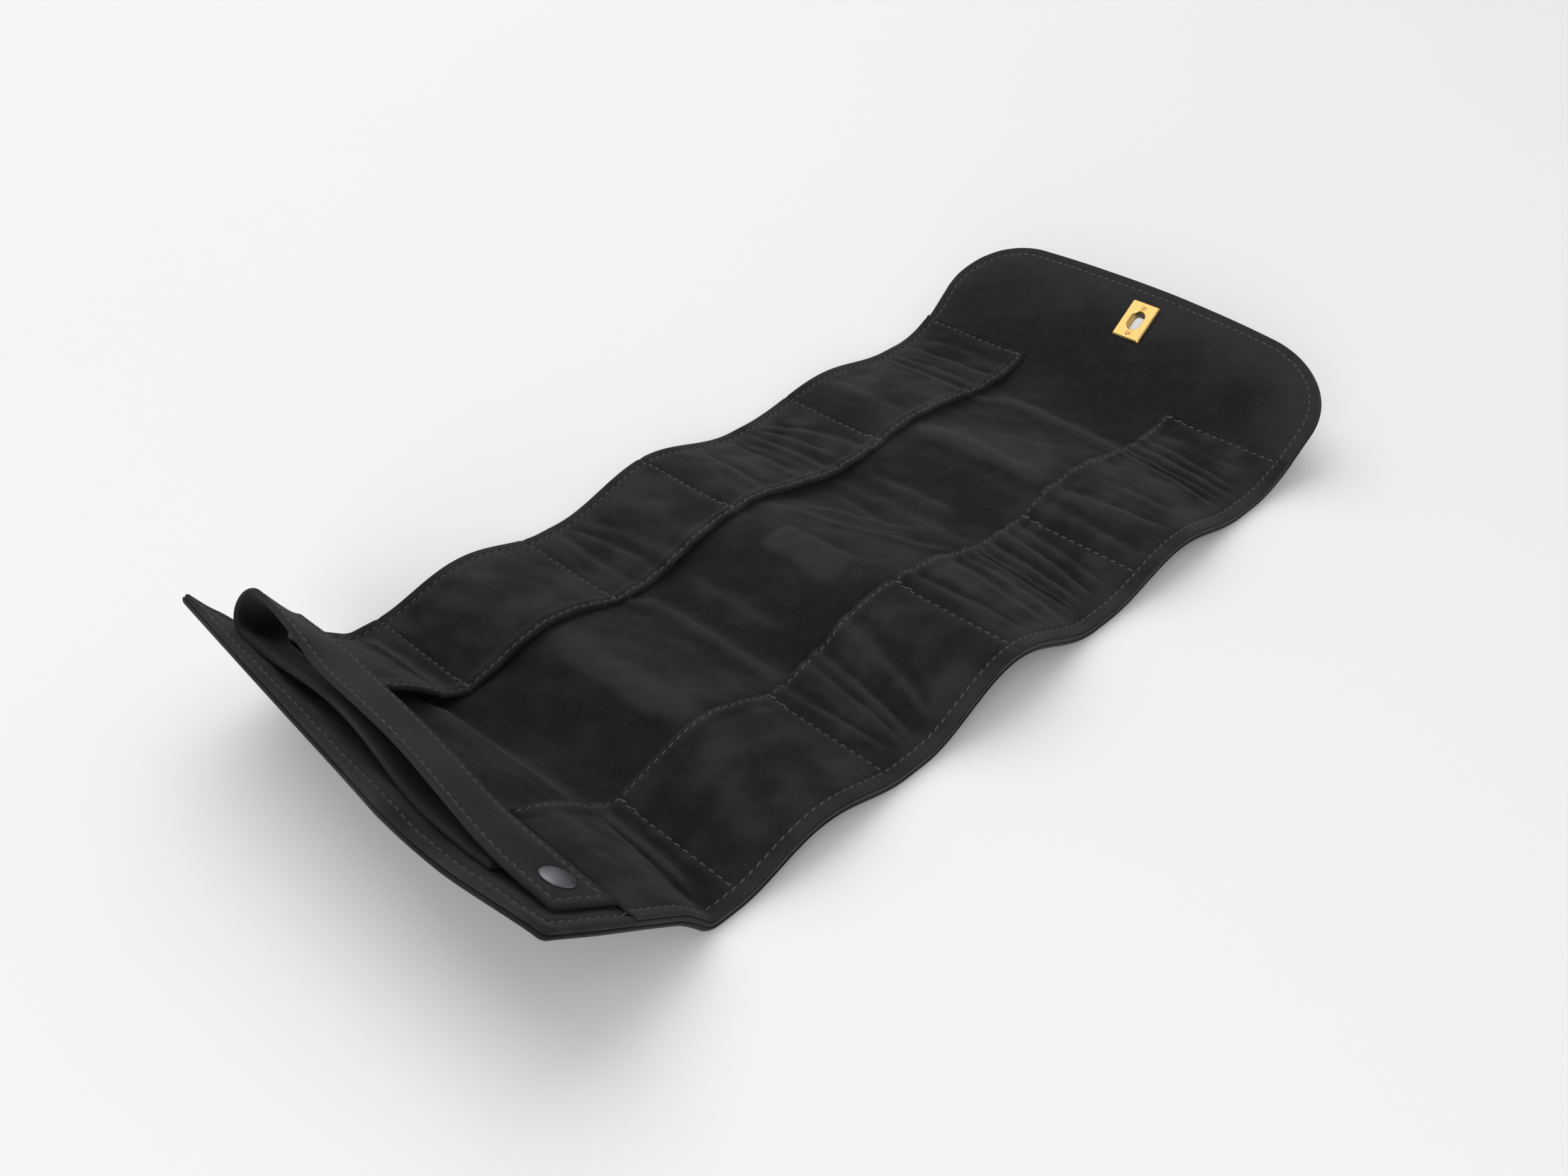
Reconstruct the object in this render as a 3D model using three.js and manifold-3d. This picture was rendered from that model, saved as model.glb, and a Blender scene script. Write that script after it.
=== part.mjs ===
// A suede roll laid open: six panels that fold across the width, each with an outer shell, an interlining
// and a lining, two pocket strips along the long sides, a ring strap with a snap, and a turn lock.
// Millimetres. +X runs from the raised end to the flap, +Y to the far side, +Z up.
import * as THREE from 'three';
import { mergeVertices } from 'three/addons/utils/BufferGeometryUtils.js';
import Module from 'manifold-3d';

const wasm = await Module();
wasm.setup();

// Sheet, from the raised end to the flap
const SHEET_WIDTH = 180;
const END_LENGTH = 74;
const END_TILT = THREE.MathUtils.degToRad(36);
const END_BEND_RADIUS = 12;
const FIRST_SPAN = 79;
const FIRST_RISE = 7.6;
const MIDDLE_SPAN = 98;
const MIDDLE_RISE = 14.3;
const LAST_SPAN = 94;
const LAST_RISE = 7.5;
const FLAP_LENGTH = 81;
const FLAP_TILT = THREE.MathUtils.degToRad(35.5);
const FLAP_BEND_RADIUS = 46;
const FLAP_CORNER_RADIUS = 34;
const FLAP_TIP_BOW = 7;
const CREASE_LAND = 4;
const FOLD_GAP = 0.7;
const FLAP_DROP = THREE.MathUtils.degToRad(25);
const FLAP_DROP_CLEARANCE = 0.15;

// Layers, measured from the outer face of the shell along its normal
const SHELL_THICKNESS = 1.2;
const INTERLINING_THICKNESS = 0.6;
const LINING_THICKNESS = 1.0;
const LAYER_GAP = 0.3;
const INTERLINING_INSET = 6;

// Pocket strips
const STRIP_WIDTH = 55;
const STRIP_THICKNESS = 1.0;
const STRIP_EDGE_INSET = 1.0;
const STRIP_SEAM_GAP = 0.3;
const POCKET_LIFT = 8.5;
const SHORT_POCKET = 30;
const END_SEAM_FROM_CREASE = 4;
const FIRST_SEAM_FROM_CREASE = 12;
const LAST_SEAM_FROM_CREASE = 25.5;
const FLAP_SEAM_FROM_CREASE = 27;
const END_POCKET_LENGTH = 35;

// Ring strap and its snap
const STRAP_WIDTH = 23;
const STRAP_FROM_CREASE = 48;
const STRAP_LAYER_THICKNESS = 0.8;
const STRAP_LOOP_RADIUS = 2.7;
const STRAP_LOOP_INSET = 6;
const STRAP_EASE_LENGTH = 44;
const STRAP_TIP_INSET = 8;
const STRAP_ROOT_LENGTH = 22;
const STRAP_ROOT_CLEARANCE = 4.6;
const SNAP_INSET = 20;
const SNAP_CAP_DIAMETER = 10.4;
const SNAP_CAP_HEIGHT = 1.7;
const SNAP_POST_DIAMETER = 2.4;
const SNAP_STUD_DIAMETER = 9;
const SNAP_STUD_BASE = 0.9;
const SNAP_NIB_DIAMETER = 3.4;
const SNAP_NIB_HEIGHT = 1.3;
const SNAP_SOCKET_HEIGHT = 1.4;
const SNAP_BACK_DIAMETER = 8;
const SNAP_EYELET_DIAMETER = 2.2;

// Turn lock
const PLATE_LENGTH = 18;
const PLATE_WIDTH = 13;
const PLATE_THICKNESS = 1.4;
const PLATE_BEVEL = 0.3;
const PLATE_CORNER_RADIUS = 0.8;
const PLATE_FROM_TIP = 18;
const BACK_PLATE_THICKNESS = 1.0;
const SLOT_LENGTH = 8;
const SLOT_WIDTH = 5.2;
const SCREW_HEAD_DIAMETER = 2.2;
const SCREW_SHANK_DIAMETER = 1.2;
const SCREW_HEAD_HEIGHT = 0.5;
const SCREW_END_MARGIN = 2.6;
const BUTTON_FROM_RIDGE = 11;
const BUTTON_BASE_THICKNESS = 1.2;
const GUIDE_HEIGHT = 1.6;
const BUTTON_BAR_HEIGHT = 2.6;
const BUTTON_BAR_CLEARANCE = 0.6;
const BUTTON_POST_DIAMETER = 3;
const BUTTON_WASHER_DIAMETER = 8;
const BUTTON_WASHER_THICKNESS = 0.5;
const FIT_GAP = 0.3;
const CUT_REACH = 12;
const FLAP_CUT_GAP = 0.1;

// Turned outlines, as shares of the radius and of the height
const CAP_PROFILE = [[1, 0], [1, 0.35], [0.85, 0.75], [0.5, 0.95], [0, 1]];
const NIB_PROFILE = [[0.85, 0], [1, 0.7], [0, 1]];

// How finely the curves are faceted
const WAVE_STEP = 6;
const PANEL_STEP = 9;
const STRAP_STEP = 7;
const LOOP_STEPS = 10;
const CORNER_STEPS = 6;
const FLAP_COLUMNS = 7;
const STRIP_COLUMNS = 6;
const ARC_SEGMENTS = 5;
const ROUND_SIDES = 24;
const TIP_EASE = 3;

// Derived levels of the layers
const INTERLINING_LOW = SHELL_THICKNESS + LAYER_GAP;
const LINING_LOW = INTERLINING_LOW + INTERLINING_THICKNESS + LAYER_GAP;
const LINING_TOP = LINING_LOW + LINING_THICKNESS;
const STRIP_LOW = LINING_TOP + STRIP_SEAM_GAP;
const FOLD_LEVEL = STRIP_LOW + STRIP_THICKNESS + LAYER_GAP;
const HALF_WIDTH = SHEET_WIDTH / 2;

// Creases and the ridge that folds, along X from the end crease
const END_CREASE = 0;
const FIRST_CREASE = END_CREASE + FIRST_SPAN;
const MIDDLE_RIDGE = FIRST_CREASE + MIDDLE_SPAN / 2;
const MIDDLE_CREASE = FIRST_CREASE + MIDDLE_SPAN;
const FLAP_CREASE = MIDDLE_CREASE + LAST_SPAN;
const MARGIN = FOLD_GAP / 2;

const suede = { color: 0x1a191b, roughness: 0.96, metalness: 0 };
const suedeLining = { color: 0x1d1c1f, roughness: 0.98, metalness: 0 };
const felt = { color: 0x4a4a4a, roughness: 1, metalness: 0 };
const gilt = { color: 0xd9a93c, roughness: 0.18, metalness: 1 };
const gunmetal = { color: 0x34353a, roughness: 0.35, metalness: 1 };

const roll = new THREE.Group();

function addPiece(name, geometry, finish, matrix) {
  const mesh = new THREE.Mesh(geometry, new THREE.MeshStandardMaterial(finish));
  mesh.name = name;
  if (matrix) {
    mesh.applyMatrix4(matrix);
  }
  roll.add(mesh);
}

// A point of the outer face in the XZ plane, its unit normal towards the inside, and its distance
function station(distance, x, z, slopeAngle) {
  return { distance, x, z, nx: -Math.sin(slopeAngle), nz: Math.cos(slopeAngle) };
}

// A section between two creases: flat lands at both creases and one raised-cosine wave between them
function waveStation(x, start, span, rise) {
  const length = span - 2 * CREASE_LAND;
  const share = THREE.MathUtils.clamp((x - start - CREASE_LAND) / length, 0, 1);
  const z = rise * Math.sin(Math.PI * share) ** 2;
  const slope = (rise * Math.PI * Math.sin(2 * Math.PI * share)) / length;
  return station(x, x, z, Math.atan(slope));
}

// A raised panel: a flat land at the crease, an arc up to the tilt, then straight
function raisedStation(distance, crease, side, radius, tilt) {
  const angle = THREE.MathUtils.clamp((distance - CREASE_LAND) / radius, 0, tilt);
  const straight = Math.max(distance - CREASE_LAND - radius * tilt, 0);
  const run = Math.min(distance, CREASE_LAND) + radius * Math.sin(angle) + straight * Math.cos(tilt);
  const z = radius * (1 - Math.cos(angle)) + straight * Math.sin(tilt);
  return station(distance, crease + side * run, z, side * angle);
}

const endStation = (distance) => raisedStation(distance, END_CREASE, -1, END_BEND_RADIUS, END_TILT);
const flapStation = (distance) => raisedStation(distance, FLAP_CREASE, 1, FLAP_BEND_RADIUS, FLAP_TILT);
const firstStation = (x) => waveStation(x, END_CREASE, FIRST_SPAN, FIRST_RISE);
const middleStation = (x) => waveStation(x, FIRST_CREASE, MIDDLE_SPAN, MIDDLE_RISE);
const lastStation = (x) => waveStation(x, MIDDLE_CREASE, LAST_SPAN, LAST_RISE);

// Evenly spaced values that pass through each of the given stops
function spread(stops, step) {
  const values = [stops[0]];
  for (let i = 1; i < stops.length; i += 1) {
    const length = stops[i] - stops[i - 1];
    const count = Math.max(1, Math.round(Math.abs(length) / step));
    for (let k = 1; k <= count; k += 1) {
      values.push(stops[i - 1] + (length * k) / count);
    }
  }
  return values;
}

// Half the flap's width at a distance from its crease, with the two corners rounded off
function flapHalfWidth(distance) {
  const into = Math.max(distance - (FLAP_LENGTH - FLAP_CORNER_RADIUS), 0) / FLAP_CORNER_RADIUS;
  return HALF_WIDTH - FLAP_CORNER_RADIUS * (1 - Math.sqrt(Math.max(1 - into * into, 0)));
}

// Where a layer of the flap starts, so that its lower corner still clears the last panel when the flap
// drops about the fold line, which lies just above the pocket strips
function flapRoot(low) {
  const swing = (FOLD_LEVEL - low) * Math.sin(FLAP_DROP);
  return (swing - MARGIN + FLAP_DROP_CLEARANCE) / Math.cos(FLAP_DROP);
}

// The six panels, each with the stops along it at a layer's level and its side edge
const straightEdge = () => HALF_WIDTH;
const endStraight = CREASE_LAND + END_BEND_RADIUS * END_TILT;
const flapCornerStart = FLAP_LENGTH - FLAP_CORNER_RADIUS;
const cornerStops = [];
for (let k = 1; k <= CORNER_STEPS; k += 1) {
  cornerStops.push(flapCornerStart + FLAP_CORNER_RADIUS * Math.sin((Math.PI * k) / (2 * CORNER_STEPS)));
}
const panels = [
  {
    name: 'end',
    at: endStation,
    edge: straightEdge,
    stops: () => [END_LENGTH, endStraight, CREASE_LAND, MARGIN],
    step: PANEL_STEP,
    length: END_LENGTH,
  },
  {
    name: 'first',
    at: firstStation,
    edge: straightEdge,
    stops: () => [
      END_CREASE + MARGIN,
      END_CREASE + CREASE_LAND,
      FIRST_CREASE - CREASE_LAND,
      FIRST_CREASE - MARGIN,
    ],
    step: WAVE_STEP,
  },
  {
    name: 'rise',
    at: middleStation,
    edge: straightEdge,
    stops: () => [FIRST_CREASE + MARGIN, FIRST_CREASE + CREASE_LAND, MIDDLE_RIDGE - MARGIN],
    step: WAVE_STEP,
  },
  {
    name: 'fall',
    at: middleStation,
    edge: straightEdge,
    stops: () => [MIDDLE_RIDGE + MARGIN, MIDDLE_CREASE - CREASE_LAND, MIDDLE_CREASE - MARGIN],
    step: WAVE_STEP,
  },
  {
    name: 'last',
    at: lastStation,
    edge: straightEdge,
    stops: () => [
      MIDDLE_CREASE + MARGIN,
      MIDDLE_CREASE + CREASE_LAND,
      FLAP_CREASE - CREASE_LAND,
      FLAP_CREASE - MARGIN,
    ],
    step: WAVE_STEP,
  },
  {
    name: 'flap',
    at: flapStation,
    edge: flapHalfWidth,
    stops: (low) => [flapRoot(low), CREASE_LAND, flapCornerStart, ...cornerStops],
    step: PANEL_STEP,
    length: FLAP_LENGTH,
    bow: FLAP_TIP_BOW,
  },
];

// A closed slab over a grid: rows follow the stations, columns run across, and each point is lifted from
// the outer face by lower and upper
function slab(rows, columns, place, lower, upper) {
  const positions = [];
  const index = [];
  const layerSize = rows * columns;
  for (const level of [lower, upper]) {
    for (let i = 0; i < rows; i += 1) {
      for (let j = 0; j < columns; j += 1) {
        const p = place(i, j);
        const lift = level(i, j);
        positions.push(p.x + p.nx * lift, p.y, p.z + p.nz * lift);
      }
    }
  }
  const quad = (a, b, c, d) => index.push(a, b, c, a, c, d);
  const low = (i, j) => i * columns + j;
  const high = (i, j) => layerSize + low(i, j);
  for (let i = 0; i + 1 < rows; i += 1) {
    for (let j = 0; j + 1 < columns; j += 1) {
      quad(low(i, j), low(i, j + 1), low(i + 1, j + 1), low(i + 1, j));
      quad(high(i, j), high(i + 1, j), high(i + 1, j + 1), high(i, j + 1));
    }
    quad(low(i, 0), low(i + 1, 0), high(i + 1, 0), high(i, 0));
    quad(low(i + 1, columns - 1), low(i, columns - 1), high(i, columns - 1), high(i + 1, columns - 1));
  }
  for (let j = 0; j + 1 < columns; j += 1) {
    quad(low(0, j + 1), low(0, j), high(0, j), high(0, j + 1));
    quad(low(rows - 1, j), low(rows - 1, j + 1), high(rows - 1, j + 1), high(rows - 1, j));
  }
  const geometry = new THREE.BufferGeometry();
  geometry.setAttribute('position', new THREE.Float32BufferAttribute(positions, 3));
  geometry.setIndex(index);
  return geometry;
}

function solidOf(geometry, matrix) {
  const bare = new THREE.BufferGeometry();
  bare.setAttribute('position', geometry.getAttribute('position').clone());
  if (geometry.index) {
    bare.setIndex(geometry.index.clone());
  }
  if (matrix) {
    bare.applyMatrix4(matrix);
  }
  const merged = mergeVertices(bare);
  const vertProperties = new Float32Array(merged.getAttribute('position').array);
  const triVerts = new Uint32Array(merged.index.array);
  return new wasm.Manifold(new wasm.Mesh({ numProp: 3, vertProperties, triVerts }));
}

function geometryOf(solid) {
  const mesh = solid.getMesh();
  const geometry = new THREE.BufferGeometry();
  geometry.setAttribute('position', new THREE.BufferAttribute(mesh.vertProperties, 3));
  geometry.setIndex(new THREE.BufferAttribute(mesh.triVerts, 1));
  return geometry;
}

// A frame on the outer face: local X along the sheet, local Z along the normal to the inside or outside
function frameAt(point, y, outward = false) {
  const normal = new THREE.Vector3(point.nx, 0, point.nz);
  const along = new THREE.Vector3(point.nz, 0, -point.nx);
  const across = new THREE.Vector3(0, 1, 0);
  if (outward) {
    normal.negate();
    across.negate();
  }
  return new THREE.Matrix4().makeBasis(along, across, normal).setPosition(point.x, y, point.z);
}

function rounded(length, width, radius) {
  const shape = new THREE.Shape();
  const x = length / 2 - radius;
  const y = width / 2 - radius;
  shape.absarc(x, -y, radius, -Math.PI / 2, 0);
  shape.absarc(x, y, radius, 0, Math.PI / 2);
  shape.absarc(-x, y, radius, Math.PI / 2, Math.PI);
  shape.absarc(-x, -y, radius, Math.PI, Math.PI * 1.5);
  return shape;
}

function stadium(length, width) {
  const shape = new THREE.Shape();
  const x = (length - width) / 2;
  shape.absarc(x, 0, width / 2, -Math.PI / 2, Math.PI / 2);
  shape.absarc(-x, 0, width / 2, Math.PI / 2, Math.PI * 1.5);
  return shape;
}

const circle = (x, radius) => new THREE.Shape().absarc(x, 0, radius, 0, Math.PI * 2);

function prism(shape, low, high, bevel = 0) {
  const geometry = new THREE.ExtrudeGeometry(shape, {
    depth: high - low - 2 * bevel,
    curveSegments: ARC_SEGMENTS,
    bevelEnabled: bevel > 0,
    bevelSize: bevel,
    bevelOffset: -bevel,
    bevelThickness: bevel,
    bevelSegments: 1,
  });
  return geometry.translate(0, 0, low + bevel);
}

function disc(diameter, low, high) {
  const cylinder = new THREE.CylinderGeometry(diameter / 2, diameter / 2, high - low, ROUND_SIDES);
  return cylinder.rotateX(Math.PI / 2).translate(0, 0, (low + high) / 2);
}

// Places of the hardware on the sheet
const plateFrame = frameAt(flapStation(FLAP_LENGTH - PLATE_FROM_TIP), 0);
const snapY = -(HALF_WIDTH - SNAP_INSET);
const snapFrame = frameAt(endStation(STRAP_FROM_CREASE), snapY);
const buttonStation = middleStation(MIDDLE_RIDGE - BUTTON_FROM_RIDGE);
const buttonFrame = frameAt(buttonStation, 0, true);
const screwX = PLATE_LENGTH / 2 - SCREW_END_MARGIN;
const openingX = SLOT_LENGTH / 2 + FIT_GAP;
const openingY = SLOT_WIDTH / 2 + FIT_GAP;

// What pierces each panel's layers: the lock's opening and screws, the button's post, the snap's eyelet
const pierced = {
  flap: () => {
    const opening = solidOf(new THREE.BoxGeometry(2 * openingX, 2 * openingY, 2 * CUT_REACH), plateFrame);
    const bores = [-screwX, screwX].map((x) => {
      const bore = disc(SCREW_SHANK_DIAMETER + 2 * FIT_GAP, -CUT_REACH, CUT_REACH).translate(x, 0, 0);
      return solidOf(bore, plateFrame);
    });
    return opening.add(bores[0]).add(bores[1]);
  },
  rise: (layer) => {
    const diameters = {
      shell: BUTTON_POST_DIAMETER + 2 * FIT_GAP,
      interlining: BUTTON_WASHER_DIAMETER + 2 * FIT_GAP,
    };
    return diameters[layer] ? solidOf(disc(diameters[layer], -CUT_REACH, CUT_REACH), buttonFrame) : null;
  },
  end: (layer) => {
    const diameters = {
      interlining: SNAP_BACK_DIAMETER + 2 * FIT_GAP,
      lining: SNAP_EYELET_DIAMETER + 2 * FIT_GAP,
    };
    return diameters[layer] ? solidOf(disc(diameters[layer], -CUT_REACH, CUT_REACH), snapFrame) : null;
  },
};

// The flap's suede is cut in four around the lock's opening: up to it, beside it on both sides, and its tip
const sideX = openingX - FLAP_CUT_GAP;
const flapCuts = [
  { suffix: '', x: [-SHEET_WIDTH, -openingX], y: [-SHEET_WIDTH, SHEET_WIDTH] },
  { suffix: '_near', x: [-sideX, sideX], y: [-SHEET_WIDTH, 0] },
  { suffix: '_far', x: [-sideX, sideX], y: [0, SHEET_WIDTH] },
  { suffix: '_tip', x: [openingX, SHEET_WIDTH], y: [-SHEET_WIDTH, SHEET_WIDTH] },
];

function flapCutter({ x, y }) {
  const box = new THREE.BoxGeometry(x[1] - x[0], y[1] - y[0], SHEET_WIDTH);
  return solidOf(box.translate((x[0] + x[1]) / 2, (y[0] + y[1]) / 2, 0), plateFrame);
}

const layers = [
  { name: 'shell', low: 0, high: SHELL_THICKNESS, inset: 0, finish: suede },
  {
    name: 'interlining',
    low: INTERLINING_LOW,
    high: INTERLINING_LOW + INTERLINING_THICKNESS,
    inset: INTERLINING_INSET,
    finish: felt,
  },
  { name: 'lining', low: LINING_LOW, high: LINING_TOP, inset: 0, finish: suedeLining },
];

// Sheet layers of every panel. The interlining stops short of the turned edges.
for (const panel of panels) {
  const columns = panel.bow ? FLAP_COLUMNS : 2;
  for (const layer of layers) {
    const distances = spread(panel.stops(layer.low), panel.step);
    const place = (i, j) => {
      const across = (2 * j) / (columns - 1) - 1;
      const y = across * (panel.edge(distances[i]) - layer.inset);
      const shortened = layer.inset + (panel.bow ?? 0) * across * across;
      const nearTip = panel.length ? (distances[i] / panel.length) ** TIP_EASE : 0;
      return { ...panel.at(distances[i] - shortened * nearTip), y };
    };
    const name = `${layer.name}_${panel.name}`;
    const geometry = slab(distances.length, columns, place, () => layer.low, () => layer.high);
    const cutter = pierced[panel.name]?.(layer.name);
    if (!cutter) {
      addPiece(name, geometry, layer.finish);
      continue;
    }
    const sheet = solidOf(geometry).subtract(cutter);
    const cuts = panel.name === 'flap' && layer.inset === 0 ? flapCuts : [];
    for (const cut of cuts) {
      addPiece(name + cut.suffix, geometryOf(sheet.intersect(flapCutter(cut))), layer.finish);
    }
    if (cuts.length === 0) {
      addPiece(name, geometryOf(sheet), layer.finish);
    }
  }
}

// Pocket strips: sewn down at the outer edge, at the cross seams and at the creases, with the mouth
// towards the middle lifted between them
const stripRuns = [
  { name: 'end', at: endStation, stops: [END_POCKET_LENGTH, MARGIN] },
  {
    name: 'first',
    at: firstStation,
    stops: [
      END_CREASE + MARGIN,
      END_CREASE + END_SEAM_FROM_CREASE,
      FIRST_CREASE - FIRST_SEAM_FROM_CREASE,
      FIRST_CREASE - MARGIN,
    ],
  },
  { name: 'rise', at: middleStation, stops: [FIRST_CREASE + MARGIN, MIDDLE_RIDGE - MARGIN] },
  { name: 'fall', at: middleStation, stops: [MIDDLE_RIDGE + MARGIN, MIDDLE_CREASE - MARGIN] },
  {
    name: 'last',
    at: lastStation,
    stops: [MIDDLE_CREASE + MARGIN, MIDDLE_CREASE + LAST_SEAM_FROM_CREASE, FLAP_CREASE - MARGIN],
  },
  { name: 'flap', at: flapStation, stops: [flapRoot(STRIP_LOW), FLAP_SEAM_FROM_CREASE] },
];

function mouthLift(distance, stops) {
  for (let i = 1; i < stops.length; i += 1) {
    const start = Math.min(stops[i - 1], stops[i]);
    const length = Math.abs(stops[i] - stops[i - 1]);
    if (distance >= start && distance <= start + length && length >= SHORT_POCKET) {
      return POCKET_LIFT * Math.sin((Math.PI * (distance - start)) / length) ** 2;
    }
  }
  return 0;
}

for (const side of [-1, 1]) {
  const inward = (j) => (side < 0 ? j : STRIP_COLUMNS - 1 - j) / (STRIP_COLUMNS - 1);
  for (const run of stripRuns) {
    const distances = spread(run.stops, WAVE_STEP);
    const place = (i, j) => {
      const fromEdge = STRIP_EDGE_INSET + (STRIP_WIDTH - STRIP_EDGE_INSET) * inward(j);
      const y = side * (HALF_WIDTH - fromEdge);
      return { ...run.at(distances[i]), y };
    };
    const lower = (i, j) => {
      const open = Math.sin((Math.PI / 2) * inward(j));
      return STRIP_LOW + open * mouthLift(distances[i], run.stops);
    };
    const upper = (i, j) => lower(i, j) + STRIP_THICKNESS;
    const strip = slab(distances.length, STRIP_COLUMNS, place, lower, upper);
    addPiece(`pocket_${side < 0 ? 'near' : 'far'}_${run.name}`, strip, suedeLining);
  }
}

// Ring strap: two layers that loop up at the far edge and run back over the end panel to the snap
const strapFrame = frameAt(endStation(STRAP_FROM_CREASE), 0);
const strapHalf = STRAP_LAYER_THICKNESS + LAYER_GAP / 2;
const studTop = LINING_TOP + FIT_GAP + SNAP_STUD_BASE;
const socketLow = studTop + FIT_GAP;
const strapLevel = socketLow + SNAP_SOCKET_HEIGHT + FIT_GAP + strapHalf;
const loopY = HALF_WIDTH - STRAP_LOOP_INSET;
const loopZ = LINING_TOP + FIT_GAP + strapHalf + STRAP_LOOP_RADIUS;
const strapTipY = -(HALF_WIDTH - STRAP_TIP_INSET);

// Centre line of the strap in the plane across the sheet, with its unit normal to the outside
function strapLine() {
  const line = [];
  for (let k = 0; k <= LOOP_STEPS; k += 1) {
    const angle = -Math.PI / 2 + (Math.PI * k) / LOOP_STEPS;
    const outY = Math.cos(angle);
    const outZ = Math.sin(angle);
    line.push({ y: loopY + STRAP_LOOP_RADIUS * outY, z: loopZ + STRAP_LOOP_RADIUS * outZ, outY, outZ });
  }
  const drop = loopZ + STRAP_LOOP_RADIUS - strapLevel;
  for (const y of spread([loopY, loopY - STRAP_EASE_LENGTH, strapTipY], STRAP_STEP).slice(1)) {
    const share = THREE.MathUtils.clamp((loopY - y) / STRAP_EASE_LENGTH, 0, 1);
    const z = strapLevel + drop * Math.cos((Math.PI / 2) * share) ** 2;
    const slope = (drop * (Math.PI / 2) * Math.sin(Math.PI * share)) / STRAP_EASE_LENGTH;
    const angle = Math.atan(slope);
    line.push({ y, z, outY: -Math.sin(angle), outZ: Math.cos(angle) });
  }
  return line;
}

// A band of the strap between two offsets from its centre line, as wide as the strap
function strapBand(line, inner, outer) {
  const outline = [
    ...line.map((p) => new THREE.Vector2(p.y + p.outY * inner, p.z + p.outZ * inner)),
    ...line.map((p) => new THREE.Vector2(p.y + p.outY * outer, p.z + p.outZ * outer)).reverse(),
  ];
  const options = { depth: STRAP_WIDTH, bevelEnabled: false };
  const band = new THREE.ExtrudeGeometry(new THREE.Shape(outline), options);
  const turn = new THREE.Matrix4().makeBasis(
    new THREE.Vector3(0, 1, 0),
    new THREE.Vector3(0, 0, 1),
    new THREE.Vector3(1, 0, 0),
  );
  return band.applyMatrix4(turn.setPosition(-STRAP_WIDTH / 2, 0, 0));
}

const snapBore = solidOf(
  disc(SNAP_POST_DIAMETER + 2 * FIT_GAP, -CUT_REACH, 2 * CUT_REACH).translate(0, snapY, 0),
);
const strapLayers = { strap_back: [-strapHalf, -LAYER_GAP / 2], strap_face: [LAYER_GAP / 2, strapHalf] };
for (const [name, [inner, outer]] of Object.entries(strapLayers)) {
  const band = solidOf(strapBand(strapLine(), inner, outer)).subtract(snapBore);
  addPiece(name, geometryOf(band), suede, strapFrame);
}
const rootFarY = loopY - STRAP_ROOT_CLEARANCE;
const strapRoot = new THREE.BoxGeometry(STRAP_WIDTH, STRAP_ROOT_LENGTH, 2 * strapHalf);
strapRoot.translate(0, rootFarY - STRAP_ROOT_LENGTH / 2, LINING_TOP + FIT_GAP + strapHalf);
addPiece('strap_root', strapRoot, suede, strapFrame);

// Snap: a domed cap and a socket on the strap, a stud and its eyelet on the end panel
function turned(profile) {
  const points = profile.map(([radius, z]) => new THREE.Vector2(radius, z));
  return new THREE.LatheGeometry(points, ROUND_SIDES).rotateX(Math.PI / 2);
}

const strapTop = strapLevel + strapHalf;
const capRadius = SNAP_CAP_DIAMETER / 2;
const capLow = strapTop + FIT_GAP;
const postLow = socketLow + SNAP_SOCKET_HEIGHT + FIT_GAP;
addPiece('snap_cap', turned([
  [0, postLow],
  [SNAP_POST_DIAMETER / 2, postLow],
  [SNAP_POST_DIAMETER / 2, capLow],
  ...CAP_PROFILE.map(([radius, height]) => [capRadius * radius, capLow + SNAP_CAP_HEIGHT * height]),
]), gunmetal, snapFrame);
const socketShape = circle(0, SNAP_STUD_DIAMETER / 2);
socketShape.holes.push(circle(0, SNAP_NIB_DIAMETER / 2 + FIT_GAP));
addPiece('snap_socket', prism(socketShape, socketLow, socketLow + SNAP_SOCKET_HEIGHT), gunmetal, snapFrame);
const studRadius = SNAP_STUD_DIAMETER / 2;
const nibRadius = SNAP_NIB_DIAMETER / 2;
addPiece('snap_stud', turned([
  [0, LINING_TOP + FIT_GAP],
  [studRadius, LINING_TOP + FIT_GAP],
  [studRadius, studTop],
  ...NIB_PROFILE.map(([radius, height]) => [nibRadius * radius, studTop + SNAP_NIB_HEIGHT * height]),
]), gunmetal, snapFrame);
addPiece('snap_eyelet', turned([
  [0, INTERLINING_LOW],
  [SNAP_BACK_DIAMETER / 2, INTERLINING_LOW],
  [SNAP_BACK_DIAMETER / 2, INTERLINING_LOW + INTERLINING_THICKNESS],
  [SNAP_EYELET_DIAMETER / 2, INTERLINING_LOW + INTERLINING_THICKNESS],
  [SNAP_EYELET_DIAMETER / 2, LINING_TOP],
  [0, LINING_TOP],
]), gunmetal, snapFrame);

// Lock plates on both faces of the flap, held by two screws
function lockPlate(boreDiameter) {
  const shape = rounded(PLATE_LENGTH, PLATE_WIDTH, PLATE_CORNER_RADIUS);
  shape.holes.push(stadium(SLOT_LENGTH, SLOT_WIDTH));
  shape.holes.push(circle(-screwX, boreDiameter / 2), circle(screwX, boreDiameter / 2));
  return shape;
}

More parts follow.
